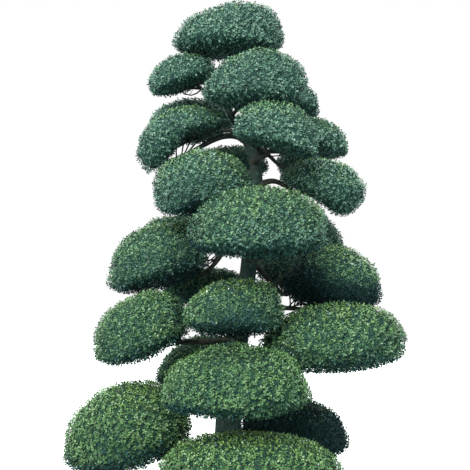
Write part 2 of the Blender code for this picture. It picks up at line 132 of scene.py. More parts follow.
# %% [markdown]
# ## The floor and the light
#
# The tree is shown cut out on white. A studio gives the same look with a pale floor, a pale world and one
# broad soft light in front, a little to the left and no higher than a morning sun. A sun lamp with a wide
# angle is such a light: it is even over the whole tree, where an area lamp would be stronger at the top.
# Under each cloud the real picture is nearly black, because a garden's ground throws little light back. So
# the floor looks pale to the camera, and gives the tree only a little greenish light.

# %% Floor and light
FLOOR_HALF = 150.0
FLOOR_COLOUR = (0.86, 0.86, 0.85)
FLOOR_BOUNCE = (0.26, 0.35, 0.38)
SUN_STRENGTH = 6.6
SUN_SPREAD = 42
SUN_FROM = Vector((-0.40, -1.00, 0.74))
SUN_COLOUR = (1.0, 0.96, 0.86)
SKY_STRENGTH = 1.85
SKY_COLOUR = (0.78, 0.94, 0.93)


def make_floor():
    shape = bmesh.new()
    bmesh.ops.create_grid(shape, x_segments=1, y_segments=1, size=FLOOR_HALF)
    floor = add_object("floor", finished_mesh("floor", shape))
    material, tree, shader = new_material("studio_floor", 1.0, 0.0)
    path = add_node(tree, "ShaderNodeLightPath")
    mix = add_mix(tree, A=FLOOR_BOUNCE, B=FLOOR_COLOUR)
    join(tree, (path.outputs["Is Camera Ray"], mix.inputs["Factor"]))
    join(tree, (mix.outputs["Result"], shader.inputs["Base Color"]))
    floor.data.materials.append(material)


def make_light():
    sun = add_object("sun", bpy.data.lights.new("sun", "SUN"))
    sun.rotation_euler = SUN_FROM.to_track_quat("Z", "Y").to_euler()
    sun.data.energy = SUN_STRENGTH
    sun.data.angle = math.radians(SUN_SPREAD)
    sun.data.color = SUN_COLOUR
    world = bpy.data.worlds.new("studio")
    bpy.context.scene.world = world
    world.use_nodes = True
    tree = world.node_tree
    tree.nodes.clear()
    out = add_node(tree, "ShaderNodeOutputWorld")
    seen = add_node(tree, "ShaderNodeBackground", {"Color": (1, 1, 1, 1), "Strength": 1.0})
    lit = add_node(tree, "ShaderNodeBackground", {"Color": (*SKY_COLOUR, 1), "Strength": SKY_STRENGTH})
    path = add_node(tree, "ShaderNodeLightPath")
    mix = add_node(tree, "ShaderNodeMixShader")
    join(
        tree,
        (path.outputs["Is Camera Ray"], mix.inputs[0]),
        (lit.outputs[0], mix.inputs[1]),
        (seen.outputs[0], mix.inputs[2]),
        (mix.outputs[0], out.inputs["Surface"]),
    )


bpy.context.scene.view_settings.view_transform = "Standard"
make_floor()
make_light()
print("light: one broad sun of strength", SUN_STRENGTH, "and a pale world")

# %% [markdown]
# ## Two effects that several materials share
#
# Bark, clay and soil are all blotched: two tones meet in soft patches, and the surface stands a little
# higher in one than in the other. Each is also grimy where dust has settled. Both are shader node groups,
# made once, with a named input for each thing that differs. They read Object coordinates, so the pattern
# stays on the piece when the camera moves. A group only puts out colours and heights, and the shader stays
# in the material.

# %% Shader groups
PATCH_EDGE = {"From Min": 0.36, "From Max": 0.64}
SPOT_EDGE = {"From Min": 0.54, "From Max": 0.66}


def new_group(name, inputs, outputs):
    tree = bpy.data.node_groups.new(name, "ShaderNodeTree")
    for label, kind, value in inputs:
        socket = tree.interface.new_socket(label, in_out="INPUT", socket_type="NodeSocket" + kind)
        socket.default_value = value
    for label, kind in outputs:
        tree.interface.new_socket(label, in_out="OUTPUT", socket_type="NodeSocket" + kind)
    return tree, tree.nodes.new("NodeGroupInput"), tree.nodes.new("NodeGroupOutput")


def make_mottle_group():
    """Two tones in patches, stretched along Z, with a finer grain laid over them."""
    tree, given, made = new_group(
        "mottle",
        [
            ("Tone A", "Color", (0.2, 0.2, 0.2, 1)),
            ("Tone B", "Color", (0.1, 0.1, 0.1, 1)),
            ("Patch Scale", "Float", 10.0),
            ("Grain Scale", "Float", 60.0),
            ("Squash", "Vector", (1, 1, 1)),
            ("Grain Share", "Float", 0.4),
        ],
        [("Color", "Color"), ("Height", "Float")],
    )
    place = add_node(tree, "ShaderNodeTexCoord")
    squash = add_node(tree, "ShaderNodeVectorMath", operation="MULTIPLY")
    patch = add_node(tree, "ShaderNodeTexNoise", {"Detail": 3.0, "Roughness": 0.55})
    grain = add_node(tree, "ShaderNodeTexNoise", {"Detail": 4.0, "Roughness": 0.65})
    share = add_node(tree, "ShaderNodeMix", data_type="FLOAT")
    ramp = add_node(tree, "ShaderNodeMapRange", PATCH_EDGE)
    mix = add_mix(tree)
    join(
        tree,
        (place.outputs["Object"], squash.inputs[0]),
        (given.outputs["Squash"], squash.inputs[1]),
        (squash.outputs[0], patch.inputs["Vector"]),
        (squash.outputs[0], grain.inputs["Vector"]),
        (given.outputs["Patch Scale"], patch.inputs["Scale"]),
        (given.outputs["Grain Scale"], grain.inputs["Scale"]),
        (given.outputs["Grain Share"], share.inputs["Factor"]),
        (patch.outputs["Fac"], share.inputs["A"]),
        (grain.outputs["Fac"], share.inputs["B"]),
        (share.outputs["Result"], ramp.inputs["Value"]),
        (ramp.outputs["Result"], mix.inputs["Factor"]),
        (given.outputs["Tone A"], mix.inputs["A"]),
        (given.outputs["Tone B"], mix.inputs["B"]),
        (mix.outputs["Result"], made.inputs["Color"]),
        (share.outputs["Result"], made.inputs["Height"]),
    )
    return tree


def make_grime_group():
    """A third tone in thin scattered spots, such as lichen, lime bloom or dust."""
    tree, given, made = new_group(
        "grime",
        [
            ("Color", "Color", (0.2, 0.2, 0.2, 1)),
            ("Grime", "Color", (0.3, 0.3, 0.3, 1)),
            ("Spot Scale", "Float", 20.0),
            ("Amount", "Float", 0.3),
        ],
        [("Color", "Color")],
    )
    place = add_node(tree, "ShaderNodeTexCoord")
    spots = add_node(tree, "ShaderNodeTexNoise", {"Detail": 5.0, "Roughness": 0.7})
    edge = add_node(tree, "ShaderNodeMapRange", SPOT_EDGE)
    amount = add_node(tree, "ShaderNodeMath", operation="MULTIPLY")
    mix = add_mix(tree)
    join(
        tree,
        (place.outputs["Object"], spots.inputs["Vector"]),
        (given.outputs["Spot Scale"], spots.inputs["Scale"]),
        (spots.outputs["Fac"], edge.inputs["Value"]),
        (edge.outputs["Result"], amount.inputs[0]),
        (given.outputs["Amount"], amount.inputs[1]),
        (amount.outputs[0], mix.inputs["Factor"]),
        (given.outputs["Color"], mix.inputs["A"]),
        (given.outputs["Grime"], mix.inputs["B"]),
        (mix.outputs["Result"], made.inputs["Color"]),
    )
    return tree


MOTTLE = make_mottle_group()
GRIME = make_grime_group()
print("shader groups:", MOTTLE.name, "and", GRIME.name)

# %% [markdown]
# ## Bark, clay and soil
#
# Old holly bark is dark grey-brown, with paler lichen on the trunk, and redder on the boughs. On the trunk,
# the tones are darker and more teal than that, and so is the lichen: painted shade, from the clouds above it
# and the bluish sky. Fired clay is orange-brown with a white bloom of lime. Potting soil is nearly black.
# One function makes all of them: it places both groups in a material and feeds their height to a Bump node
# for the finest relief, while everything wider than a few millimetres is real geometry further down. None of
# them shines: `MATT` is the specular level of them all.

# %% Rough materials
MATT = 0.12
SPOTS_TO_A_PATCH = 1.7
RELIEF_STRENGTH = 0.6


def rough_material(name, tone_a, tone_b, grime, scales, squash, amount, roughness, bump):
    material, tree, shader = new_material(name, roughness, MATT)
    patch_scale, grain_scale = scales
    mottle = add_node(
        tree,
        "ShaderNodeGroup",
        {
            "Tone A": (*tone_a, 1),
            "Tone B": (*tone_b, 1),
            "Patch Scale": patch_scale,
            "Grain Scale": grain_scale,
            "Squash": squash,
        },
        node_tree=MOTTLE,
    )
    spots = add_node(
        tree,
        "ShaderNodeGroup",
        {"Grime": (*grime, 1), "Spot Scale": patch_scale * SPOTS_TO_A_PATCH, "Amount": amount},
        node_tree=GRIME,
    )
    relief = add_node(tree, "ShaderNodeBump", {"Strength": RELIEF_STRENGTH, "Distance": bump})
    join(
        tree,
        (mottle.outputs["Color"], spots.inputs["Color"]),
        (spots.outputs["Color"], shader.inputs["Base Color"]),
        (mottle.outputs["Height"], relief.inputs["Height"]),
        (relief.outputs["Normal"], shader.inputs["Normal"]),
    )
    return material


# The trunk's tones are bark darkened and tinted teal as painted shade from the clouds above.
TRUNK_BARK = rough_material(
    "trunk_bark", (0.007, 0.017, 0.016), (0.033, 0.049, 0.044), (0.048, 0.096, 0.084),
    (16, 95), (1, 1, 0.35), 0.70, 0.90, 0.006,
)
BOUGH_BARK = rough_material(
    "bough_bark", (0.010, 0.016, 0.015), (0.052, 0.044, 0.034), (0.046, 0.080, 0.064),
    (18, 120), (1, 1, 1), 0.60, 0.80, 0.002,
)
TWIG_BARK = rough_material(
    "twig_bark", (0.014, 0.016, 0.013), (0.060, 0.046, 0.028), (0.11, 0.10, 0.065),
    (22, 160), (1, 1, 1), 0.25, 0.80, 0.001,
)
CLAY = rough_material(
    "fired_clay", (0.42, 0.185, 0.095), (0.50, 0.245, 0.140), (0.60, 0.47, 0.38),
    (5, 110), (1, 1, 0.6), 0.35, 0.88, 0.0012,
)
SOIL = rough_material(
    "potting_soil", (0.020, 0.014, 0.010), (0.055, 0.038, 0.025), (0.10, 0.075, 0.05),
    (30, 220), (1, 1, 1), 0.35, 0.95, 0.004,
)
print("rough materials:", [m.name for m in (TRUNK_BARK, BOUGH_BARK, TWIG_BARK, CLAY, SOIL)])

# %% [markdown]
# ## The greens
#
# The leaves look like one green from afar. Close up they change with height: mossy low in the tree, grass
# green at half height, and a bluer pine green at the top. Each of these has a shaded, a plain and a lit tone:
# painted shade and painted sunlight, with soft patches of fresh growth among the lit leaves. Two dark greens
# are for the deepest shade, a lime one is painted sunlight on the most lit leaves low down, and a pale one is
# a painted reflection of the sky on some of the most lit leaves. A pattern of colours would be lost on so
# many small leaves, so each green is a plain base colour in a material of its own. Young leaves are glossier
# than old ones.
#
# Further in lie leaves that nobody sees one by one. They share the material `thicket`: the rounded cells of
# a Voronoi pattern, each with its own green, and near-black between them as painted shade between leaves.
# Noise moves the cells a little, so that no row shows, and their greens follow the height as well. Where
# another cloud shades them, the attribute `shade` of their mesh dims them.

# %% Leaf materials
# The shaded, plain and lit tones of each green are painted shade and painted sunlight; dark and deep are
# painted deep shade.
LEAF_TINTS = (
    ("leaf_dark", (0.006, 0.021, 0.023), 0.55, 0.08),
    ("leaf_deep", (0.018, 0.052, 0.050), 0.50, 0.15),
    ("leaf_moss_shade", (0.038, 0.084, 0.034), 0.45, 0.26),
    ("leaf_moss", (0.068, 0.137, 0.050), 0.38, 0.34),
    ("leaf_moss_fresh", (0.088, 0.165, 0.058), 0.38, 0.38),
    ("leaf_grass_shade", (0.039, 0.088, 0.048), 0.45, 0.28),
    ("leaf_grass", (0.069, 0.142, 0.070), 0.38, 0.36),
    ("leaf_grass_fresh", (0.089, 0.167, 0.080), 0.38, 0.38),
    ("leaf_pine_shade", (0.045, 0.099, 0.076), 0.45, 0.30),
    ("leaf_pine", (0.073, 0.146, 0.108), 0.36, 0.38),
    ("leaf_pine_fresh", (0.090, 0.168, 0.124), 0.36, 0.40),
    # Painted sunlight on the most lit leaves low down.
    ("leaf_lime", (0.106, 0.190, 0.048), 0.40, 0.40),
    # A painted reflection of the sky.
    ("leaf_pale", (0.142, 0.224, 0.182), 0.30, 0.48),
)
DARK, DEEP, MOSS, GRASS, PINE, LIT_LIME, SKY_SHEEN = 0, 1, 2, 5, 8, 11, 12
# The third tone of each is near-black painted shade between the cells.
THICKET_LOW = ((0.020, 0.060, 0.036), (0.056, 0.136, 0.050), (0.006, 0.020, 0.017))
THICKET_HIGH = ((0.025, 0.072, 0.062), (0.068, 0.158, 0.092), (0.011, 0.032, 0.032))
THICKET_DIMMED = (0.003, 0.012, 0.012)
THICKET_SPAN = {"From Min": 1.0, "From Max": 3.7}
THICKET_GAPS = {"From Min": 0.20, "From Max": 0.62}
THICKET_SHADES = {"From Min": 0.25, "From Max": 1.0, "To Max": 0.9}
THICKET_RELIEF = {"Strength": 0.9, "Distance": 0.012}
THICKET_CELL_SCALE = 82.0
THICKET_WANDER_SCALE = 40.0
THICKET_WANDER = 0.022


def leaf_material(name, colour, roughness, shine):
    material, _, shader = new_material(name, roughness, shine)
    shader.inputs["Base Color"].default_value = (*colour, 1)
    return material


def tones_by_height(tree, height):
    """The two greens of the cells and the painted shade between them, each mixed from low to high in the
    tree.
    """
    tones = []
    for low, high in zip(THICKET_LOW, THICKET_HIGH):
        tone = add_mix(tree, A=low, B=high)
        join(tree, (height, tone.inputs["Factor"]))
        tones.append(tone.outputs["Result"])
    return tones


def thicket_material():
    """Deep-lying leaves: rounded cells, each of its own dark green, with near-black painted shade between
    them.
    """
    material, tree, shader = new_material("thicket", 0.7, MATT)
    place = add_node(tree, "ShaderNodeTexCoord")
    wander = add_node(tree, "ShaderNodeTexNoise", {"Scale": THICKET_WANDER_SCALE, "Detail": 1.0})
    warp = add_node(tree, "ShaderNodeVectorMath", {"Scale": THICKET_WANDER}, operation="SCALE")
    warped = add_node(tree, "ShaderNodeVectorMath", operation="ADD")
    cells = add_node(tree, "ShaderNodeTexVoronoi", {"Scale": THICKET_CELL_SCALE})
    pick = add_node(tree, "ShaderNodeSeparateColor")
    split = add_node(tree, "ShaderNodeSeparateXYZ")
    height = add_node(tree, "ShaderNodeMapRange", THICKET_SPAN)
    one_green, other_green, between = tones_by_height(tree, height.outputs["Result"])
    green = add_mix(tree)
    # Near-black painted shade in the gaps between the cells.
    gaps = add_node(tree, "ShaderNodeMapRange", THICKET_GAPS)
    leafy = add_mix(tree)
    relief = add_node(tree, "ShaderNodeBump", THICKET_RELIEF, invert=True)
    shade = add_node(tree, "ShaderNodeAttribute", attribute_name="shade")
    dim = add_node(tree, "ShaderNodeMapRange", THICKET_SHADES)
    dimmed = add_mix(tree, B=THICKET_DIMMED)
    join(
        tree,
        (place.outputs["Object"], split.inputs[0]),
        (split.outputs["Z"], height.inputs["Value"]),
        (place.outputs["Object"], wander.inputs["Vector"]),
        (wander.outputs["Color"], warp.inputs[0]),
        (place.outputs["Object"], warped.inputs[0]),
        (warp.outputs[0], warped.inputs[1]),
        (warped.outputs[0], cells.inputs["Vector"]),
        (cells.outputs["Color"], pick.inputs[0]),
        (one_green, green.inputs["A"]),
        (other_green, green.inputs["B"]),
        (pick.outputs[0], green.inputs["Factor"]),
        (cells.outputs["Distance"], gaps.inputs["Value"]),
        (green.outputs["Result"], leafy.inputs["A"]),
        (between, leafy.inputs["B"]),
        (gaps.outputs["Result"], leafy.inputs["Factor"]),
        (shade.outputs["Fac"], dim.inputs["Value"]),
        (dim.outputs["Result"], dimmed.inputs["Factor"]),
        (leafy.outputs["Result"], dimmed.inputs["A"]),
        (dimmed.outputs["Result"], shader.inputs["Base Color"]),
        (cells.outputs["Distance"], relief.inputs["Height"]),
        (relief.outputs["Normal"], shader.inputs["Normal"]),
    )
    return material


LEAF_GREENS = [leaf_material(*tint) for tint in LEAF_TINTS]
THICKET = thicket_material()
print("greens:", [green.name for green in LEAF_GREENS])

# %% [markdown]
# ## The line of the trunk
#
# The trunk winds: it leans left above its foot, swings right at half height and hooks back under the top
# cloud. Eight knots give its middle and radius, as in the solids, and a cubic between them gives every
# height in between. Whatever grows on the trunk asks `trunk_at` where it is.

# %% Trunk line
SOIL_TOP = 0.550
TRUNK_KNOTS = (
    (0.000, 0.000, 0.55, 0.100),
    (-0.050, 0.010, 1.10, 0.092),
    (-0.010, 0.025, 1.60, 0.081),
    (0.085, 0.010, 2.25, 0.060),
    (0.158, -0.010, 2.85, 0.042),
    (0.105, 0.005, 3.17, 0.035),
    (-0.055, 0.030, 3.48, 0.026),
    (-0.025, 0.015, 3.80, 0.017),
)
TRUNK_TIP = TRUNK_KNOTS[-1][2]


def trunk_at(height):
    """The trunk's middle and radius at a height, on a smooth line through its knots."""
    knots = [Vector(knot) for knot in TRUNK_KNOTS]
    last = len(knots) - 2
    i = next((k for k in range(last) if height < knots[k + 1].z), last)
    before = knots[max(i - 1, 0)]
    start, end = knots[i], knots[i + 1]
    after = knots[min(i + 2, last + 1)]
    t = (height - start.z) / (end.z - start.z)
    span = end.z - start.z
    slope_in = (end - before) * (span / (end.z - before.z))
    slope_out = (after - start) * (span / (after.z - start.z))
    knot = (
        start * (2 * t**3 - 3 * t**2 + 1)
        + slope_in * (t**3 - 2 * t**2 + t)
        + end * (3 * t**2 - 2 * t**3)
        + slope_out * (t**3 - t**2)
    )
    return Vector((knot.x, knot.y, height)), knot.w


print("trunk radius at foot and tip:", [round(trunk_at(z)[1], 3) for z in (SOIL_TOP, TRUNK_TIP)])

# %% [markdown]
# ## The clouds
#
# A gardener clips each bough's end into a dome with a flat or hollow underside. Here a cloud is a centre,
# two half widths, a height above its rim and a depth below it, and the angle by which its rim hangs. The
# same thirty clouds are in the solids. They are repeated here, because this script reads nothing but the
# frame. `cloud_point` gives the clipped surface, with shoulders a little fuller than an ellipsoid's and
# soft lumps.


# %% Cloud table
class Cloud(NamedTuple):
    name: str
    centre: tuple
    half: tuple
    crown: float
    under: float
    droop: float
    fork: float
    turn: float = 0.0
    bend: float = 0.0
    belly: float = 0.0
    arch: float = 0.02
    entry: float = 0.45
    lean: float = 0.0
    bough: bool = True


CLOUDS = (
    Cloud("01_top", (-0.056, 0.02, 3.925), (0.397, 0.29), 0.285, 0.094, 0.0, 3.77, lean=0.092, bough=False),
    Cloud("02_left", (-0.37, 0.0, 3.65), (0.25, 0.22), 0.186, 0.066, 18.5, 3.50, bough=False),
    Cloud("03_front", (0.13, -0.32, 3.475), (0.351, 0.29), 0.302, 0.11, 4.0, 3.40, lean=0.06, bough=False),
    Cloud(
        "04_right_back", (0.378, 0.3, 3.525), (0.245, 0.24), 0.206, 0.05, 9.5, 3.38,
        bend=0.012, bough=False,
    ),
    Cloud(
        "05_left_back", (-0.324, 0.38, 3.385), (0.317, 0.25), 0.22, 0.095, 9.0, 3.28,
        bend=0.012, lean=-0.012, bough=False,
    ),
    Cloud(
        "06_left", (-0.367, -0.1, 3.26), (0.339, 0.25), 0.175, 0.054, 12.5, 3.23,
        bend=0.138, belly=0.16, arch=0.07, entry=-0.3, lean=-0.06,
    ),
    Cloud(
        "07_front_right", (0.273, -0.56, 3.11), (0.29, 0.28), 0.249, 0.064, 14.0, 3.06,
        turn=55, bend=0.018, lean=-0.024,
    ),
    Cloud("08_right", (0.551, 0.1, 3.205), (0.265, 0.25), 0.196, 0.07, 12.0, 3.13, lean=-0.012),
    Cloud(
        "09_front_left", (-0.203, -0.36, 2.785), (0.336, 0.29), 0.304, 0.124, 15.5, 2.72,
        bend=0.012, lean=-0.024,
    ),
    Cloud(
        "10_right", (0.593, -0.15, 2.85), (0.289, 0.27), 0.214, 0.082, 21.0, 2.87,
        belly=0.08, arch=0.09, entry=0.5, lean=0.048,
    ),
    Cloud("11_back_left", (-0.03, 0.49, 3.085), (0.282, 0.25), 0.175, 0.055, 9.5, 3.00, lean=-0.012),
    Cloud("12_right_back", (0.55, 0.62, 3.105), (0.22, 0.22), 0.182, 0.05, 5.0, 3.22, arch=0.0, lean=-0.06),
    Cloud("13_front", (0.14, -0.75, 2.445), (0.446, 0.34), 0.335, 0.113, 3.0, 2.38, bend=0.012, lean=0.036),
    Cloud(
        "14_left", (-0.53, -0.12, 2.31), (0.358, 0.27), 0.296, 0.15, 14.5, 2.56,
        bend=0.018, arch=0.07, entry=0.75, lean=0.048,
    ),
    Cloud("15_right_back", (0.5, 0.5, 2.395), (0.337, 0.28), 0.386, 0.254, 0.5, 2.35, arch=-0.01),
    Cloud("16_left_back", (-0.46, 0.46, 2.505), (0.308, 0.26), 0.23, 0.08, 16.0, 2.48),
    Cloud("17_right", (0.672, -0.02, 2.17), (0.341, 0.26), 0.295, 0.175, 10.0, 2.06),
    Cloud("18_back_left", (-0.216, 0.4, 2.16), (0.335, 0.25), 0.175, 0.083, 6.5, 2.04, bend=0.012),
    Cloud("19_front", (-0.016, -0.58, 1.955), (0.322, 0.25), 0.253, 0.122, 4.0, 1.82, lean=0.06),
    Cloud("20_left", (-0.613, -0.34, 1.84), (0.334, 0.29), 0.28, 0.141, 24.5, 1.80, entry=0.6, lean=0.036),
    Cloud(
        "21_right", (0.632, -0.38, 1.765), (0.48, 0.33), 0.294, 0.171, -2.5, 1.74,
        entry=0.75, lean=0.048,
    ),
    Cloud("22_right_back", (0.75, 0.42, 1.72), (0.33, 0.3), 0.235, 0.09, 6.0, 1.62),
    Cloud(
        "23_left_back", (-0.288, 0.36, 1.585), (0.306, 0.27), 0.242, 0.112, 18.0, 1.48,
        bend=0.024, lean=0.072,
    ),
    Cloud("24_front", (-0.004, -0.8, 1.465), (0.46, 0.36), 0.329, 0.116, 4.0, 1.34, lean=0.024),
    Cloud("25_back", (0.13, 0.86, 1.395), (0.4, 0.34), 0.265, 0.085, 5.0, 1.26),
    Cloud("26_left", (-0.712, -0.3, 1.16), (0.426, 0.36), 0.355, 0.194, 16.0, 1.03, entry=0.55, lean=0.048),
    Cloud("27_right_back", (0.422, 0.30, 1.12), (0.391, 0.34), 0.277, 0.16, 7.5, 0.96, lean=-0.012),
    Cloud("28_front", (0.101, -0.75, 1.005), (0.558, 0.4), 0.25, 0.125, 3.0, 0.80, lean=-0.012),
    Cloud("29_left_back", (-0.77, 0.52, 1.065), (0.37, 0.34), 0.295, 0.11, 10.0, 0.92),
    Cloud("30_back", (0.15, 0.85, 0.845), (0.42, 0.32), 0.23, 0.1, 5.0, 0.74),
)

# %% Cloud surface
FULLNESS_ABOVE = 0.92
FULLNESS_BELOW = 0.85
LUMP_DEPTH = 0.07
LUMP_SCALE = 2.1
LUMP_SHIFT = 9
BELLY_REACH = 1.6
LEAST_HEADING = 0.1
NORMAL_STEP = 0.05


def heading(cloud):
    """The level direction from the trunk to the cloud, or to the front where the cloud is on the trunk."""
    middle, _ = trunk_at(min(cloud.fork, TRUNK_TIP))
    away = Vector(cloud.centre) - middle
    away.z = 0
    return away.normalized() if away.length > LEAST_HEADING else Vector((0, -1, 0))


def outward(cloud):
    """The level direction in which the cloud hangs down."""
    return Matrix.Rotation(math.radians(cloud.turn), 3, "Z") @ heading(cloud)


def hang(cloud):
    """The rotation that lets the rim plane droop."""
    axis = Vector((0, 0, 1)).cross(outward(cloud))
    return Matrix.Rotation(math.radians(cloud.droop), 3, axis)


def rounded(value, fullness):
    """A sine or cosine, made fuller so that a dome's shoulders stand out."""
    return math.copysign(abs(value) ** fullness, value)


def cloud_point(cloud, azimuth, rise, scale=1.0):
    """A point on the clipped surface, at an azimuth and a rise above the rim plane."""
    fullness = FULLNESS_ABOVE if rise > 0 else FULLNESS_BELOW
    level = rounded(math.cos(rise), fullness)
    unit = Vector((math.cos(azimuth) * level, math.sin(azimuth) * level, rounded(math.sin(rise), fullness)))
    lump = 1 + LUMP_DEPTH * noise.noise(unit * LUMP_SCALE + Vector(cloud.centre) * LUMP_SHIFT)
    local = Vector((unit.x * cloud.half[0] + cloud.lean * max(unit.z, 0), unit.y * cloud.half[1], 0))
    local *= lump * scale
    out = OUTWARD[cloud.name]
    share = max(local.x * out.x + local.y * out.y, 0) / cloud.half[0]
    height = cloud.crown if rise > 0 else cloud.under + cloud.belly * min(share * BELLY_REACH, 1)
    local.z = unit.z * height * lump * scale - cloud.bend * share**2
    return Vector(cloud.centre) + HANG[cloud.name] @ local


def normal_at(cloud, azimuth, rise):
    rise = min(rise, math.pi / 2 - NORMAL_STEP)
    here = cloud_point(cloud, azimuth, rise)
    round_it = cloud_point(cloud, azimuth + NORMAL_STEP, rise) - here
    up_it = cloud_point(cloud, azimuth, rise + NORMAL_STEP) - here
    return round_it.cross(up_it).normalized()


OUTWARD = {cloud.name: outward(cloud) for cloud in CLOUDS}
HANG = {cloud.name: hang(cloud) for cloud in CLOUDS}
print("clouds:", len(CLOUDS), "highest point:", round(cloud_point(CLOUDS[0], 0, math.pi / 2).z, 3))

# %% [markdown]
# ## The boughs
#
# Each bough leaves the trunk level or rising, arches, and comes in under its cloud, a little in from the
# middle. A cubic Bezier with four points draws such an arch. The solids have it in four straight runs, and
# here the same curve has forty, with a slight wander, because old limbs are never straight. The wander is
# `noise_vector`, which takes its seed from the clock unless `seed_set` gives it one, so it gets one here, and
# every run draws the same boughs.

# %% Bough lines
BOUGH_ROOT_SHARE = 0.062
BOUGH_ROOT_LEAST = 0.004
BOUGH_TIP_SHARE = 0.60
BOUGH_TIP_CLEAR = 0.004
BOUGH_TIP_SINK = 1.1
BOUGH_LEAVES = 0.35
BOUGH_ARRIVES = 0.30
BOUGH_ARCH = 1.2
BOUGH_DIP = 0.04
BOUGH_STEPS = 40
BOUGH_WANDER = 0.007
BOUGH_WANDER_SCALE = 7
BOUGH_WANDER_SEED = 5


def bough_ends(cloud):
    """The radius of a cloud's bough at the trunk and at its tip."""
    root = BOUGH_ROOT_SHARE * (cloud.half[0] + cloud.half[1]) / 2 + BOUGH_ROOT_LEAST
    return root, root * BOUGH_TIP_SHARE


def entry_point(cloud):
    """Where the bough ends, just under the cloud's underside, in from the middle towards the trunk."""
    local = HANG[cloud.name].transposed() @ -heading(cloud)
    azimuth = math.atan2(local.y * cloud.half[0], local.x * cloud.half[1])
    sink = BOUGH_TIP_SINK * bough_ends(cloud)[1] + BOUGH_TIP_CLEAR
    clear = HANG[cloud.name] @ Vector((0, 0, -sink))
    return cloud_point(cloud, azimuth, -math.acos(cloud.entry)) + clear


def bough_line(cloud):
    start, _ = trunk_at(cloud.fork)
    end = entry_point(cloud)
    reach = (end - start).length
    arch = cloud.arch * BOUGH_ARCH
    leave = start + heading(cloud) * reach * BOUGH_LEAVES + Vector((0, 0, arch))
    arrive = end - heading(cloud) * reach * BOUGH_ARRIVES + Vector((0, 0, arch - BOUGH_DIP))
    line = []
    for i in range(BOUGH_STEPS + 1):
        t = i / BOUGH_STEPS
        point = (
            start * (1 - t) ** 3
            + leave * (3 * t * (1 - t) ** 2)
            + arrive * (3 * t**2 * (1 - t))
            + end * t**3
        )
        drift = noise.noise_vector(point * BOUGH_WANDER_SCALE) * BOUGH_WANDER * math.sin(math.pi * t)
        line.append(point + drift)
    return line


noise.seed_set(BOUGH_WANDER_SEED)
BOUGHS = {cloud.name: bough_line(cloud) for cloud in CLOUDS if cloud.bough}
print("boughs:", len(BOUGHS))

# %% [markdown]
# ## Bark with its relief
#
# The bark of a trunk this old has long shallow ridges, fine cracks and swellings where boughs join. The
# trunk could be a plain tube with a bump map, but its outline would stay smooth. So the tube is made of
# fine rings and each point is pushed out or in: by noise stretched along the trunk, and by a collar round
# each bough's root. Boughs are made the same way, widening into their collars.


# %% Tubes through rings of points
def mesh_object(name, shape, material):
    bmesh.ops.recalc_face_normals(shape, faces=shape.faces)
    mesh = finished_mesh(name, shape)
    mesh.shade_smooth()
    mesh.materials.append(material)
    return add_object(name, mesh)


def bridge(shape, lower, upper):
    """Adds a band of faces between two loops of points."""
    count = len(lower)
    for i in range(count):
        j = (i + 1) % count
        shape.faces.new((lower[i], lower[j], upper[j], upper[i]))


def loft(shape, rings, tip=False):
    """Adds a closed tube through rings of points to a bmesh. A tip is closed to a point."""
    loops = [[shape.verts.new(point) for point in ring] for ring in rings]
    count = len(rings[0])
    for lower, upper in zip(loops, loops[1:]):
        bridge(shape, lower, upper)
    shape.faces.new(loops[0][::-1])
    if tip:
        middle = sum((vert.co for vert in loops[-1]), Vector()) / count
        point = shape.verts.new(middle)
        for i in range(count):
            shape.faces.new((loops[-1][i], loops[-1][(i + 1) % count], point))
    else:
        shape.faces.new(loops[-1])


# %% Bark relief
BARK_STRETCH = 0.75
RIDGE_SCALE = 46
RIDGE_HEIGHT = 0.045
CRACK_SCALE = 60
CRACK_DEPTH = 0.03
SWELLING_SCALE = 8
SWELLING_HEIGHT = 0.07


def bark_relief(point, radius, along):
    """How far the bark stands out at a point of a limb: long ridges, cracks across them, soft swellings."""
    stretched = point - along * point.dot(along) * BARK_STRETCH
    ridges = noise.fractal(stretched * RIDGE_SCALE, 0.9, 2.1, 3)
    cracks = -abs(noise.noise(point * CRACK_SCALE + Vector((3, 7, 1))))
    swellings = noise.noise(point * SWELLING_SCALE)
    return radius * (RIDGE_HEIGHT * ridges + CRACK_DEPTH * cracks + SWELLING_HEIGHT * swellings)


# %% Trunk bark
SEAT_GAP = 0.0003
TRUNK_SIDES = 60
TRUNK_RING_STEP = 0.0095
FLARE_LOBES = 5
FLARE_WIDTH = 0.62
FLARE_HEIGHT = 0.13
FLARE_LOBE_DEPTH = 0.35
FLARE_TURN = 0.6
COLLAR_SWELL = 0.55
COLLAR_WIDTH = 1.9
COLLAR_REACH = 4
SMOOTH_FOOT_RINGS = 3


def round_axis(angle, radius=1.0, height=0.0):
    """The point at an angle round the Z axis, at a radius and a height."""
    return Vector((math.cos(angle) * radius, math.sin(angle) * radius, height))


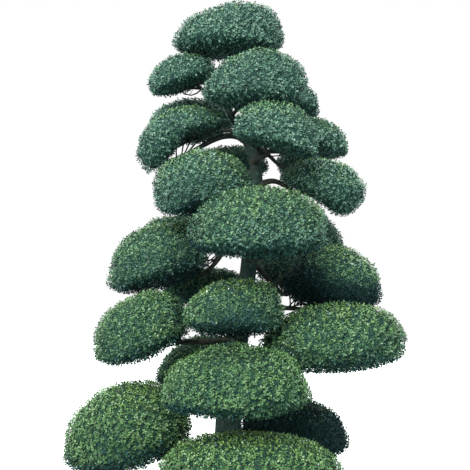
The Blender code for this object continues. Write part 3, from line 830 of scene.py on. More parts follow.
def make_trunk():
    foot = SOIL_TOP + SEAT_GAP
    count = int((TRUNK_TIP - foot) / TRUNK_RING_STEP)
    collars = [(BOUGHS[c.name][0], heading(c), bough_ends(c)[0], c.fork) for c in CLOUDS if c.bough]
    rings = []
    for i in range(count + 1):
        height = foot + (TRUNK_TIP - foot) * i / count
        middle, radius = trunk_at(height)
        flare = FLARE_WIDTH * math.exp(-(height - foot) / FLARE_HEIGHT)
        near = [collar for collar in collars if abs(collar[3] - height) < COLLAR_REACH * collar[2]]
        settle = min(1.0, i / SMOOTH_FOOT_RINGS)
        ring = []
        for k in range(TRUNK_SIDES):
            angle = math.tau * k / TRUNK_SIDES
            out = round_axis(angle)
            lobe = 1 + FLARE_LOBE_DEPTH * math.cos(FLARE_LOBES * angle + FLARE_TURN)
            reach = radius * (1 + flare * lobe)
            point = middle + out * reach
            reach += settle * bark_relief(point, radius, Vector((0, 0, 1)))
            for start, way, size, _ in near:
                away = (point - start - way * radius).length / (size * COLLAR_WIDTH)
                reach += size * COLLAR_SWELL * math.exp(-(away**2)) * max(out.dot(way), 0)
            ring.append(middle + out * reach)
        rings.append(ring)
    shape = bmesh.new()
    loft(shape, rings, tip=True)
    return mesh_object("trunk_bark", shape, TRUNK_BARK)


trunk = make_trunk()
print("trunk faces:", len(trunk.data.polygons))

# %% Bough bark
BOUGH_SIDES = 16
BOUGH_COLLAR = 0.75
BOUGH_COLLAR_WIDTH = 1.3
BOUGH_COLLAR_FROM = 0.8


def make_bough(shape, cloud):
    line = BOUGHS[cloud.name]
    root, tip = bough_ends(cloud)
    _, trunk_radius = trunk_at(cloud.fork)
    rings = []
    across = None
    for i, point in enumerate(line):
        along = (line[min(i + 1, len(line) - 1)] - line[max(i - 1, 0)]).normalized()
        if across is None:
            across = along.orthogonal().normalized()
        across = (across - along * across.dot(along)).normalized()
        other = along.cross(across)
        share = i / (len(line) - 1)
        beyond = max((point - line[0]).length - trunk_radius * BOUGH_COLLAR_FROM, 0)
        collar = 1 + BOUGH_COLLAR * math.exp(-beyond / (root * BOUGH_COLLAR_WIDTH))
        radius = (root + (tip - root) * share) * collar
        ring = []
        for k in range(BOUGH_SIDES):
            angle = math.tau * k / BOUGH_SIDES
            out = across * math.cos(angle) + other * math.sin(angle)
            reach = radius + bark_relief(point + out * radius, radius, along)
            ring.append(point + out * reach)
        rings.append(ring)
    loft(shape, rings)


def make_boughs():
    shape = bmesh.new()
    for cloud in CLOUDS:
        if cloud.bough:
            make_bough(shape, cloud)
    return mesh_object("bough_bark", shape, BOUGH_BARK)


boughs = make_boughs()
print("bough faces:", len(boughs.data.polygons))

# %% [markdown]
# ## How a cloud grows
#
# Inside a cloud the limb forks into about ten branches, each branch into branchlets, and each branchlet
# ends in a handful of sprays, clipped off at the same surface. The golden angle spreads the sprays: each is
# turned from the one before by 137.5 degrees, which never leaves two in line, as on a real shoot. Branch
# and branchlet ends are spread by the same rule, only fewer, and each finer one grows from the nearest
# coarser. A spread needs to know where the surface is: `area_table` measures it in level bands.

# %% Spread over a cloud
GOLDEN_ANGLE = math.radians(137.508)
SPRAYS_PER_SQUARE_METRE = 1560
UNDERSIDE_SHARE = 0.72
UNDERSIDE_FROM = 0.75
UNDERSIDE_FADE = 0.6
RISE_STEPS = 60
AZIMUTH_STEPS = 16
SPREAD_TURN = 0.06


def limited(value):
    """The value, but not below 0 and not above 1."""
    return min(max(value, 0), 1)


def fullness_at(rise):
    """How thickly sprays stand: all over the dome, fewer on the shaded underside."""
    return UNDERSIDE_SHARE + (1 - UNDERSIDE_SHARE) * limited((rise + UNDERSIDE_FROM) / UNDERSIDE_FADE)


def area_table(cloud):
    """The clipped surface in level bands, each with its rise and its area weighted by how full it is."""
    rises = [-math.pi / 2 + math.pi * (i + 0.5) / RISE_STEPS for i in range(RISE_STEPS)]
    areas = []
    for rise in rises:
        half_band = math.pi / RISE_STEPS / 2
        area = 0
        for k in range(AZIMUTH_STEPS):
            azimuth = math.tau * k / AZIMUTH_STEPS
            here = cloud_point(cloud, azimuth, rise)
            wide = cloud_point(cloud, azimuth + math.tau / AZIMUTH_STEPS, rise) - here
            low = cloud_point(cloud, azimuth, max(rise - half_band, -math.pi / 2))
            tall = cloud_point(cloud, azimuth, min(rise + half_band, math.pi / 2)) - low
            area += wide.cross(tall).length
        areas.append(area * fullness_at(rise))
    return np.array(rises), np.array(areas)


def spread(cloud, count, table, rng, jitter):
    """Azimuths and rises of count spots, evenly over the weighted surface, by the golden angle."""
    rises, areas = table
    filled = np.cumsum(areas) / areas.sum()
    first = rng.uniform(0, math.tau)
    spots = []
    for i in range(count):
        share = (i + 0.5 + rng.uniform(-0.5, 0.5) * jitter) / count
        rise = float(np.interp(share, filled, rises))
        spots.append((first + GOLDEN_ANGLE * i + rng.gauss(0, SPREAD_TURN) * jitter, rise))
    return spots


TABLES = {cloud.name: area_table(cloud) for cloud in CLOUDS}
print("weighted leaf surface:", round(sum(float(t[1].sum()) for t in TABLES.values()), 1), "square metres")

# %% [markdown]
# ## The shade of other clouds
#
# Clouds shade one another. A lamp alone doesn't make the shade deep enough, because leaves that live in it
# stay few and dark. So `SHADED` says how much darker a cloud is, fading out towards its back, and
# `SUN_SPOTS` does so for a ball of space, by its middle, its reach and its depth of shade. A value below
# zero stands for leaves that get more light than most.

# %% Shade
SHADE_FADE = 1.2
SHADE_FRONT = 0.1
SHADED = {
    "27_right_back": 1.05, "17_right": 0.14, "14_left": 0.16, "15_right_back": 0.15, "13_front": 0.11,
    "20_left": 0.12, "24_front": 0.07, "28_front": 0.08, "03_front": 0.05, "07_front_right": 0.07,
    "09_front_left": 0.07, "10_right": -0.24, "21_right": -0.06, "01_top": -0.04,
}
SUN_SPOTS = (
    (Vector((0.55, -0.20, 1.95)), 0.40, 1.30),
    (Vector((0.34, -0.15, 2.25)), 0.34, 1.00),
    (Vector((0.84, -0.15, 2.36)), 0.30, -0.60),
    (Vector((0.84, -0.15, 1.98)), 0.34, 1.40),
    (Vector((-0.20, -0.65, 2.58)), 0.32, 0.75),
    (Vector((-0.02, -0.85, 1.80)), 0.34, 0.70),
    (Vector((0.10, -1.20, 0.85)), 0.55, 0.22),
    (Vector((-0.28, -0.30, 2.15)), 0.34, 0.60),
    (Vector((0.62, -0.25, 3.06)), 0.32, -1.00),
    (Vector((-0.02, -0.62, 2.20)), 0.30, -0.80),
    (Vector((0.10, -0.85, 1.24)), 0.50, -0.50),
    (Vector((0.60, -0.45, 2.04)), 0.42, -0.35),
    (Vector((-0.70, -0.40, 1.50)), 0.36, -0.25),
    (Vector((-0.22, -0.45, 3.08)), 0.32, -0.50),
)


def shade_from_others(cloud, point):
    """How much darker a leaf is for growing in another cloud's shade, most on a cloud's front."""
    depth_share = (point.y - cloud.centre[1]) / cloud.half[1]
    shade = SHADED.get(cloud.name, 0) * limited(1 - SHADE_FADE * (depth_share + SHADE_FRONT))
    for middle, reach, depth in SUN_SPOTS:
        shade += depth * max(1 - (point - middle).length_squared / reach**2, 0)
    return shade


print("clouds with a shade of their own:", len(SHADED), "spots:", len(SUN_SPOTS))

# %% [markdown]
# ## The green of a spray
#
# The height of a spray picks its kind of green, and the top of a cloud is painted warmer than its underside,
# as sunlit leaves are beside shaded ones, most of all high in the tree. The light that it would get picks
# the tone, as painted light and shade: which way the surface faces, soft patches of fresh growth, how far
# back and how high it stands, and the shade of other clouds. A little chance in both keeps the greens from
# meeting along a line.

# %% Green of a spray
CROWN_FOOT = 1.0
CROWN_HEIGHT = 3.0
PATCH_SCALE = 5.5
FINE_PATCH_SCALE = 14
FINE_PATCH_SHARE = 0.6
BACK_DEPTH = 0.5
LIGHT_BY_SLOPE = 0.70
LIGHT_BY_SLOPE_LOST_HIGH = 0.40
LIGHT_BY_PATCH = 0.34
LIGHT_LOST_AT_BACK = 0.20
LIGHT_BY_HEIGHT = 0.32
HUE_PATCH_SCALE = 5
HUE_BY_PATCH = 0.12
HUE_CHANCE = 0.11
# Painted sunlight: how much warmer the top of a cloud is than its underside, low and high in the tree.
SUN_WARMTH = 0.15
SUN_WARMTH_HIGH = 0.60
LEVEL_ENOUGH = 0.30
MOSS_BELOW = 0.28
GRASS_BELOW = 0.58
DARK_BELOW = -0.90
DEEP_BELOW = -0.44
DEEP_BELOW_HIGH = -0.28
SHADE_TONE_BELOW = -0.04
PLAIN_TONE_BELOW = 0.42
LIT_TONE_BELOW = 0.74
SKY_SHEEN_SHARE = 0.15
SKY_SHEEN_SHARE_HIGH = 0.40


def pick_tint(cloud, point, normal, light_chance, rng):
    """The number of a green in LEAF_TINTS: its kind by height, and by slope as painted sunlight; its tone by
    painted light.
    """
    patch = noise.noise(point * PATCH_SCALE + Vector((11, 3, 5)))
    patch += FINE_PATCH_SHARE * noise.noise(point * FINE_PATCH_SCALE + Vector((2, 9, 4)))
    high = (point.z - CROWN_FOOT) / CROWN_HEIGHT
    light = (LIGHT_BY_SLOPE - LIGHT_BY_SLOPE_LOST_HIGH * high) * normal.z + LIGHT_BY_PATCH * patch
    light -= LIGHT_LOST_AT_BACK * limited(point.y / BACK_DEPTH)
    light += LIGHT_BY_HEIGHT * (high - 0.5)
    light += rng.gauss(0, light_chance) - shade_from_others(cloud, point)
    hue = high + HUE_BY_PATCH * noise.noise(point * HUE_PATCH_SCALE + Vector((7, 1, 13)))
    hue += rng.gauss(0, HUE_CHANCE)
    # Painted sunlight and shade: tops turn warmer, undersides bluer.
    hue -= (SUN_WARMTH + SUN_WARMTH_HIGH * high) * (normal.z - LEVEL_ENOUGH)
    family = MOSS if hue < MOSS_BELOW else GRASS if hue < GRASS_BELOW else PINE
    # The tone paints the light: dark and deep for deep shade, then the shaded, plain and lit tones.
    if light < DARK_BELOW:
        return DARK
    if light < DEEP_BELOW + DEEP_BELOW_HIGH * high:
        return DEEP
    if light < SHADE_TONE_BELOW:
        return family
    if light < PLAIN_TONE_BELOW:
        return family + 1
    if light < LIT_TONE_BELOW:
        return family + 2
    # Some of the most lit leaves get a painted reflection of the sky instead.
    if rng.random() < SKY_SHEEN_SHARE + SKY_SHEEN_SHARE_HIGH * high:
        return SKY_SHEEN
    return LIT_LIME if family == MOSS else family + 2


# %% [markdown]
# ## Sprays
#
# A spray is a short shoot with five leaves. Its shoot points out of the cloud and a little up to the light,
# and its top lies at the clipped surface, some a little deeper and a few longer ones missed by the shears.
# A spray that would touch the trunk or a bough is left out. Each has two greens, and the second, for some
# of its leaves, is picked with more chance.

# %% Sprays
SHOOT_LENGTH = 0.020
SHOOT_LIFT = 0.45
SHOOT_LIFT_UNDER = -0.05
SHOOT_UNDER = -0.2
SHOOT_SPREAD = 0.28
LEAF_LENGTH = 0.0178
SPRAY_SIZES = (0.82, 1.15)
SPRAY_DEPTH = SHOOT_LENGTH + LEAF_LENGTH * 0.62
LEAST_DEPTH_SHARE = 0.6
CLIP_JITTER = 0.005
PROUD = 0.009
TUCKED_BELOW = 0.003
MISSED_SHARE = 0.03
MISSED_LENGTH = 0.011
LIGHT_CHANCE = 0.10
OTHER_LIGHT_CHANCE = 0.22


class Spray(NamedTuple):
    base: Vector
    way: Vector
    size: float
    tint: int
    other_tint: int


def make_spray(cloud, spot, rng):
    azimuth, rise = spot
    surface = cloud_point(cloud, azimuth, rise)
    normal = normal_at(cloud, azimuth, rise)
    lift = Vector((0, 0, SHOOT_LIFT if normal.z > SHOOT_UNDER else SHOOT_LIFT_UNDER))
    way = (normal + lift + Vector([rng.gauss(0, SHOOT_SPREAD) for _ in range(3)])).normalized()
    size = rng.uniform(*SPRAY_SIZES)
    depth = SPRAY_DEPTH * size + abs(rng.gauss(0, CLIP_JITTER)) - PROUD + TUCKED_BELOW * max(-normal.z, 0)
    if rng.random() < MISSED_SHARE:
        depth -= MISSED_LENGTH
    base = surface - normal * depth * max(way.dot(normal), LEAST_DEPTH_SHARE)
    tint = pick_tint(cloud, surface, normal, LIGHT_CHANCE, rng)
    other_tint = pick_tint(cloud, surface, normal, OTHER_LIGHT_CHANCE, rng)
    return Spray(base, way, size, tint, other_tint)


# %% Sprays clear of the limbs
LIMB_CLEARANCE = 0.012
TRUNK_SAMPLES = 40
BOUGH_SAMPLE_STEP = 4


def clear_of_limbs(points):
    """Which of the points keep clear of the trunk and of every bough."""
    heights = np.linspace(SOIL_TOP, TRUNK_TIP, TRUNK_SAMPLES)
    trunk_line = [trunk_at(float(height)) for height in heights]
    limbs = [([middle for middle, _ in trunk_line], [radius for _, radius in trunk_line])]
    for cloud in CLOUDS:
        if cloud.bough:
            line = BOUGHS[cloud.name][::BOUGH_SAMPLE_STEP]
            root, tip = bough_ends(cloud)
            limbs.append((line, [root + (tip - root) * i / len(line) for i in range(len(line))]))
    clear = np.ones(len(points), bool)
    for line, radii in limbs:
        for a, b, radius in zip(line, line[1:], radii):
            start, span = np.array(a), np.array(b - a)
            t = np.clip((points - start) @ span / (span @ span), 0, 1)
            gap = np.linalg.norm(points - start - t[:, None] * span, axis=1)
            clear &= gap > radius + LIMB_CLEARANCE
    return clear


def grow_sprays(cloud):
    rng = random.Random("sprays " + cloud.name)
    table = TABLES[cloud.name]
    count = int(SPRAYS_PER_SQUARE_METRE * table[1].sum())
    sprays = [make_spray(cloud, spot, rng) for spot in spread(cloud, count, table, rng, 1.0)]
    clear = clear_of_limbs(np.array([spray.base + spray.way * SHOOT_LENGTH for spray in sprays]))
    return [spray for spray, keep in zip(sprays, clear) if keep]


SPRAYS = {cloud.name: grow_sprays(cloud) for cloud in CLOUDS}
print("sprays:", sum(len(sprays) for sprays in SPRAYS.values()))

# %% [markdown]
# ## Tiers
#
# One mesh with every leaf would be too heavy to handle. The clouds are dealt into tiers from the top down,
# and each tier's leaves, and its twigs, are a piece of their own below 190,000 triangles.

# %% Tiers
LEAVES_TO_A_SPRAY = 5
TRIANGLES_TO_A_LEAF = 4
PIECE_LIMIT = 190000


def tiers():
    """Neighbouring clouds in groups whose leaves stay below the limit for one piece."""
    groups, total = [[]], 0
    for cloud in CLOUDS:
        count = len(SPRAYS[cloud.name]) * LEAVES_TO_A_SPRAY * TRIANGLES_TO_A_LEAF
        if total + count > PIECE_LIMIT:
            groups.append([])
            total = 0
        groups[-1].append(cloud)
        total += count
    return groups


TIERS = tiers()
print("clouds in each tier:", [len(clouds) for clouds in TIERS])

# %% [markdown]
# ## Branches and twigs
#
# The forking is worked out as lines of points with a radius at each. The stem goes on from the bough's tip,
# and carries the branches. Thin forks also leave the outer half of the bough and rise into the underside:
# they are what shows in the gaps between the clouds. Then come the branchlets, and the twig of each spray.
#
# A Geometry Nodes tree gives every line its thickness: Mesh to Curve, then Curve to Mesh with a round
# profile, scaled by a value that each point carries. A twig's last radius is nothing, so Merge by Distance
# closes its tip to a point. One tree serves both the stout branches, with seven sides, and the thin twigs,
# with three.


# %% Lines with a thickness
LINE_WANDER = 0.07


class Lines:
    """Points, edges and radii of many separate lines."""

    def __init__(self):
        self.points = []
        self.edges = []
        self.radii = []

    def add(self, points, radii):
        first = len(self.points)
        self.points += [tuple(point) for point in points]
        self.radii += radii
        self.edges += [(first + i, first + i + 1) for i in range(len(points) - 1)]

    def mesh(self, name):
        mesh = bpy.data.meshes.new(name)
        mesh.from_pydata(self.points, self.edges, [])
        radius = mesh.attributes.new("thickness", "FLOAT", "POINT")
        radius.data.foreach_set("value", self.radii)
        return mesh


def nearest(points):
    """A finder that tells which of the points is nearest."""
    tree = kdtree.KDTree(len(points))
    for i, point in enumerate(points):
        tree.insert(point, i)
    tree.balance()
    return lambda point: tree.find(point)[1]


def bend(start, end, sag, rng, steps):
    """A line that sags or wanders a little between its ends."""
    line = []
    side = Vector([rng.gauss(0, 1) for _ in range(3)]) * (end - start).length * LINE_WANDER
    for i in range(steps + 1):
        t = i / steps
        bow = math.sin(math.pi * t)
        line.append(start.lerp(end, t) + side * bow - Vector((0, 0, sag * bow)))
    return line


def add_bent(lines, line, first, last):
    """Adds a line whose radius tapers from a first to a last value, and gives it back."""
    ends = len(line) - 1
    lines.add(line, [first + (last - first) * i / ends for i in range(len(line))])
    return line


# %% Stem of a cloud
STEM_HEART = 0.25
STEM_HEIGHT = 0.45
STEM_TAPER = 0.7
STEM_SAG = 0.02
STEM_FROM_TRUNK_TIP = (0.01, 0.05)
STEM_FROM_BOUGH_TIP = (0.004, 0.03, 0.07)


def stem_line(cloud):
    """The limb goes on inside the cloud, from the bough's tip, or from the trunk, to its heart."""
    heart = Vector(cloud.centre) + Vector((0, 0, cloud.crown * STEM_HEART))
    if cloud.name == CLOUDS[0].name:
        tip, _ = trunk_at(TRUNK_TIP)
        below, above = STEM_FROM_TRUNK_TIP
        return [tip - Vector((0, 0, below)), tip + Vector((0, 0, above)), heart]
    if not cloud.bough:
        start, _ = trunk_at(cloud.fork)
        return [start, start.lerp(heart, 0.5) - Vector((0, 0, STEM_SAG)), heart]
    line = BOUGHS[cloud.name]
    along = (line[-1] - line[-2]).normalized()
    back, ahead, beyond = STEM_FROM_BOUGH_TIP
    tip = line[-1] - along * back
    upward = HANG[cloud.name] @ Vector((0, 0, cloud.under + cloud.crown * STEM_HEIGHT))
    return [tip, tip + along * ahead, tip + along * beyond + upward]


# %% Forks, branches and twigs
FORKS_TO_A_BOUGH = 7
FORK_SWING = 1.7
FORK_RISES = (0.25, 1.0)
FORK_DEPTH = 0.93
FORK_SIZES = (0.45, 0.18)
BRANCHES_TO_A_CLOUD = 10
BRANCH_JITTER = 0.6
BRANCH_LOWEST = -0.5
BRANCH_DEPTH = 0.62
BRANCH_ROOTS = (0.05, 0.9)
BRANCH_SIZES = (0.55, 0.28)
BRANCH_SAG = 0.018
BRANCH_STEPS = 4
SPRAYS_TO_A_BRANCHLET = 11
LEAST_BRANCHLETS = 4
BRANCHLET_JITTER = 0.8
BRANCHLET_DEPTH = 0.86
BRANCHLET_SAG = 0.004
BRANCHLET_STEPS = 2
TWIG_RADIUS = 0.0018
BRANCHLET_SIZES = (2 * TWIG_RADIUS, 1.1 * TWIG_RADIUS)
TWIG_UP_THE_SHOOT = 0.85


def grow_forks(cloud, stout, size, rng):
    """Thin forks from the outer half of the bough up into the underside."""
    inward = math.atan2(-heading(cloud).y, -heading(cloud).x)
    for _ in range(FORKS_TO_A_BOUGH):
        start = BOUGHS[cloud.name][rng.randint(BOUGH_STEPS // 2, BOUGH_STEPS - 1)]
        azimuth = inward + rng.uniform(-FORK_SWING, FORK_SWING)
        end = cloud_point(cloud, azimuth, -rng.uniform(*FORK_RISES), FORK_DEPTH)
        fork = bend(start, end, -BRANCH_SAG, rng, BRANCH_STEPS)
        add_bent(stout, fork, size * FORK_SIZES[0], size * FORK_SIZES[1])


def grow_branches(cloud, stout, fine):
    rng = random.Random("branches " + cloud.name)
    table = TABLES[cloud.name]
    stem = stem_line(cloud)
    size = bough_ends(cloud)[1]
    stout.add(stem, [size, size, size * STEM_TAPER])
    if cloud.bough:
        grow_forks(cloud, stout, size, rng)
    spots = spread(cloud, BRANCHES_TO_A_CLOUD, table, rng, BRANCH_JITTER)
    ends = [cloud_point(cloud, azimuth, max(rise, BRANCH_LOWEST), BRANCH_DEPTH) for azimuth, rise in spots]
    branches = []
    for end in ends:
        start = stem[1].lerp(stem[2], rng.uniform(*BRANCH_ROOTS))
        branch = bend(start, end, BRANCH_SAG, rng, BRANCH_STEPS)
        branches.append(add_bent(stout, branch, size * BRANCH_SIZES[0], size * BRANCH_SIZES[1]))
    sprays = SPRAYS[cloud.name]
    count = max(len(sprays) // SPRAYS_TO_A_BRANCHLET, LEAST_BRANCHLETS)
    spots = spread(cloud, count, table, rng, BRANCHLET_JITTER)
    feet = [cloud_point(cloud, azimuth, rise, BRANCHLET_DEPTH) for azimuth, rise in spots]
    branch_for = nearest(ends)
    for foot in feet:
        branch = branches[branch_for(foot)]
        start = branch[2].lerp(branch[4], rng.random())
        add_bent(fine, bend(start, foot, BRANCHLET_SAG, rng, BRANCHLET_STEPS), *BRANCHLET_SIZES)
    foot_for = nearest(feet)
    for spray in sprays:
        top = spray.base + spray.way * SHOOT_LENGTH * spray.size * TWIG_UP_THE_SHOOT
        foot = feet[foot_for(spray.base)]
        fine.add([foot, top], [TWIG_RADIUS, 0.0])


# %% Tree for round branches
STOUT_SIDES = 7
TWIG_SIDES = 3
TIP_WIDTH = 0.00005


def apply_modifier(piece, modifier):
    """Keeps what the modifier makes as the piece's own plain mesh."""
    graph = bpy.context.evaluated_depsgraph_get()
    plain = bpy.data.meshes.new_from_object(piece.evaluated_get(graph), depsgraph=graph)
    piece.modifiers.remove(modifier)
    piece.data = plain


def new_geometry_tree(name, inputs):
    tree = bpy.data.node_groups.new(name, "GeometryNodeTree")
    tree.interface.new_socket("Geometry", in_out="INPUT", socket_type="NodeSocketGeometry")
    for label, kind, value in inputs:
        socket = tree.interface.new_socket(label, in_out="INPUT", socket_type="NodeSocket" + kind)
        if value is not None:
            socket.default_value = value
    tree.interface.new_socket("Geometry", in_out="OUTPUT", socket_type="NodeSocketGeometry")
    return tree, tree.nodes.new("NodeGroupInput"), tree.nodes.new("NodeGroupOutput")


def attribute(tree, name, kind):
    node = add_node(tree, "GeometryNodeInputNamedAttribute", {"Name": name}, data_type=kind)
    return node.outputs["Attribute"]


def make_branch_tree():
    tree, given, made = new_geometry_tree(
        "round_branches", [("Sides", "Int", STOUT_SIDES), ("Bark", "Material", None)]
    )
    curve = add_node(tree, "GeometryNodeMeshToCurve")
    ring = add_node(tree, "GeometryNodeCurvePrimitiveCircle", {"Radius": 1.0})
    tube = add_node(tree, "GeometryNodeCurveToMesh")
    point = add_node(tree, "GeometryNodeMergeByDistance", {"Distance": TIP_WIDTH})
    real = add_node(tree, "GeometryNodeRealizeInstances")
    paint = add_node(tree, "GeometryNodeSetMaterial")
    join(
        tree,
        (given.outputs["Geometry"], curve.inputs[0]),
        (curve.outputs[0], tube.inputs["Curve"]),
        (attribute(tree, "thickness", "FLOAT"), tube.inputs["Scale"]),
        (given.outputs["Sides"], ring.inputs["Resolution"]),
        (ring.outputs[0], tube.inputs["Profile Curve"]),
        (tube.outputs[0], point.inputs["Geometry"]),
        (point.outputs[0], real.inputs[0]),
        (real.outputs[0], paint.inputs["Geometry"]),
        (given.outputs["Bark"], paint.inputs["Material"]),
        (paint.outputs[0], made.inputs[0]),
    )
    return tree


def grown(name, mesh, tree, **values):
    """Runs a Geometry Nodes tree on a mesh, and keeps the result as a plain mesh object."""
    piece = add_object(name, mesh)
    modifier = piece.modifiers.new(tree.name, "NODES")
    modifier.node_group = tree
    for item in tree.interface.items_tree:
        if item.in_out == "INPUT" and item.name.replace(" ", "_") in values:
            modifier[item.identifier] = values[item.name.replace(" ", "_")]
    apply_modifier(piece, modifier)
    return piece


# %% Grow the branches and twigs
BRANCH_TREE = make_branch_tree()
stout = Lines()
twig_pieces = []
for number, clouds in enumerate(TIERS, 1):
    fine = Lines()
    for cloud in clouds:
        grow_branches(cloud, stout, fine)
    name = f"twigs_tier_{number}"
    twigs = grown(name, fine.mesh(name), BRANCH_TREE, Sides=TWIG_SIDES, Bark=TWIG_BARK)
    twigs.data.shade_smooth()
    twig_pieces.append((twigs, clouds))
    print(name, "faces:", len(twigs.data.polygons))
branches = grown("branches", stout.mesh("branches"), BRANCH_TREE, Sides=STOUT_SIDES, Bark=BOUGH_BARK)
branches.data.shade_smooth()
print("branch faces:", len(branches.data.polygons))

# %% [markdown]
# ## The leaves
#
# A leaf is 11 to 22 mm long, oval, glossy and slightly folded down along its midrib. Two four-cornered
# faces that share the midrib are enough for its outline and its fold. Nobody could place them one by one,
# so a Geometry Nodes tree does: it takes one point for each spray, repeats it five times, turns each copy
# by the golden angle round the shoot, lifts the upper leaves more than the lower ones, and puts a leaf on
# each. Random Value nodes with a fixed seed make every leaf differ. Each spray carries two greens, its own
# and another for some of its leaves, and Set Material deals them out.

# %% Leaf shape
LEAF_WIDTH_SHARE = 0.64
LEAF_FOLD = 0.09
OTHER_TINT_SHARE = 0.40


def leaf_mesh():
    """One leaf along +X, one unit long, with its upper side to +Z."""
    half = LEAF_WIDTH_SHARE / 2
    outline = ((0, 0, 0), (0.30, 0.90, 1), (0.70, 0.86, 1), (1, 0, 0.6))
    points = [(along, side * half, -LEAF_FOLD * fall) for along, side, fall in outline]
    points += [(along, -side * half, -LEAF_FOLD * fall) for along, side, fall in outline[1:3]]
    mesh = bpy.data.meshes.new("leaf")
    mesh.from_pydata(points, [], [(0, 3, 2, 1), (0, 4, 5, 3)])
    mesh.shade_smooth()
    return mesh


# %% Tree for leaves
LOWEST_LIFT = 0.15
HIGHEST_LIFT = 0.70
LIFT_CHANCE = 0.35
SWING_CHANCE = 0.4
ROLL_CHANCE = 0.5
LEAF_GROWTH = (0.74, 1.1)


def random_value(tree, low, high, seed, where):
    node = add_node(tree, "FunctionNodeRandomValue", data_type="FLOAT")
    node.inputs[2].default_value = low
    node.inputs[3].default_value = high
    node.inputs["Seed"].default_value = seed
    join(tree, (where, node.inputs["ID"]))
    return node.outputs[1]


def compute(tree, operation, a, b, c=None):
    """One Math node. Each of a, b and c is a socket or a number."""
    node = add_node(tree, "ShaderNodeMath", operation=operation)
    for socket, value in zip(node.inputs, (a, b, c)):
        if isinstance(value, bpy.types.NodeSocket):
            join(tree, (value, socket))
        elif value is not None:
            socket.default_value = value
    return node.outputs[0]


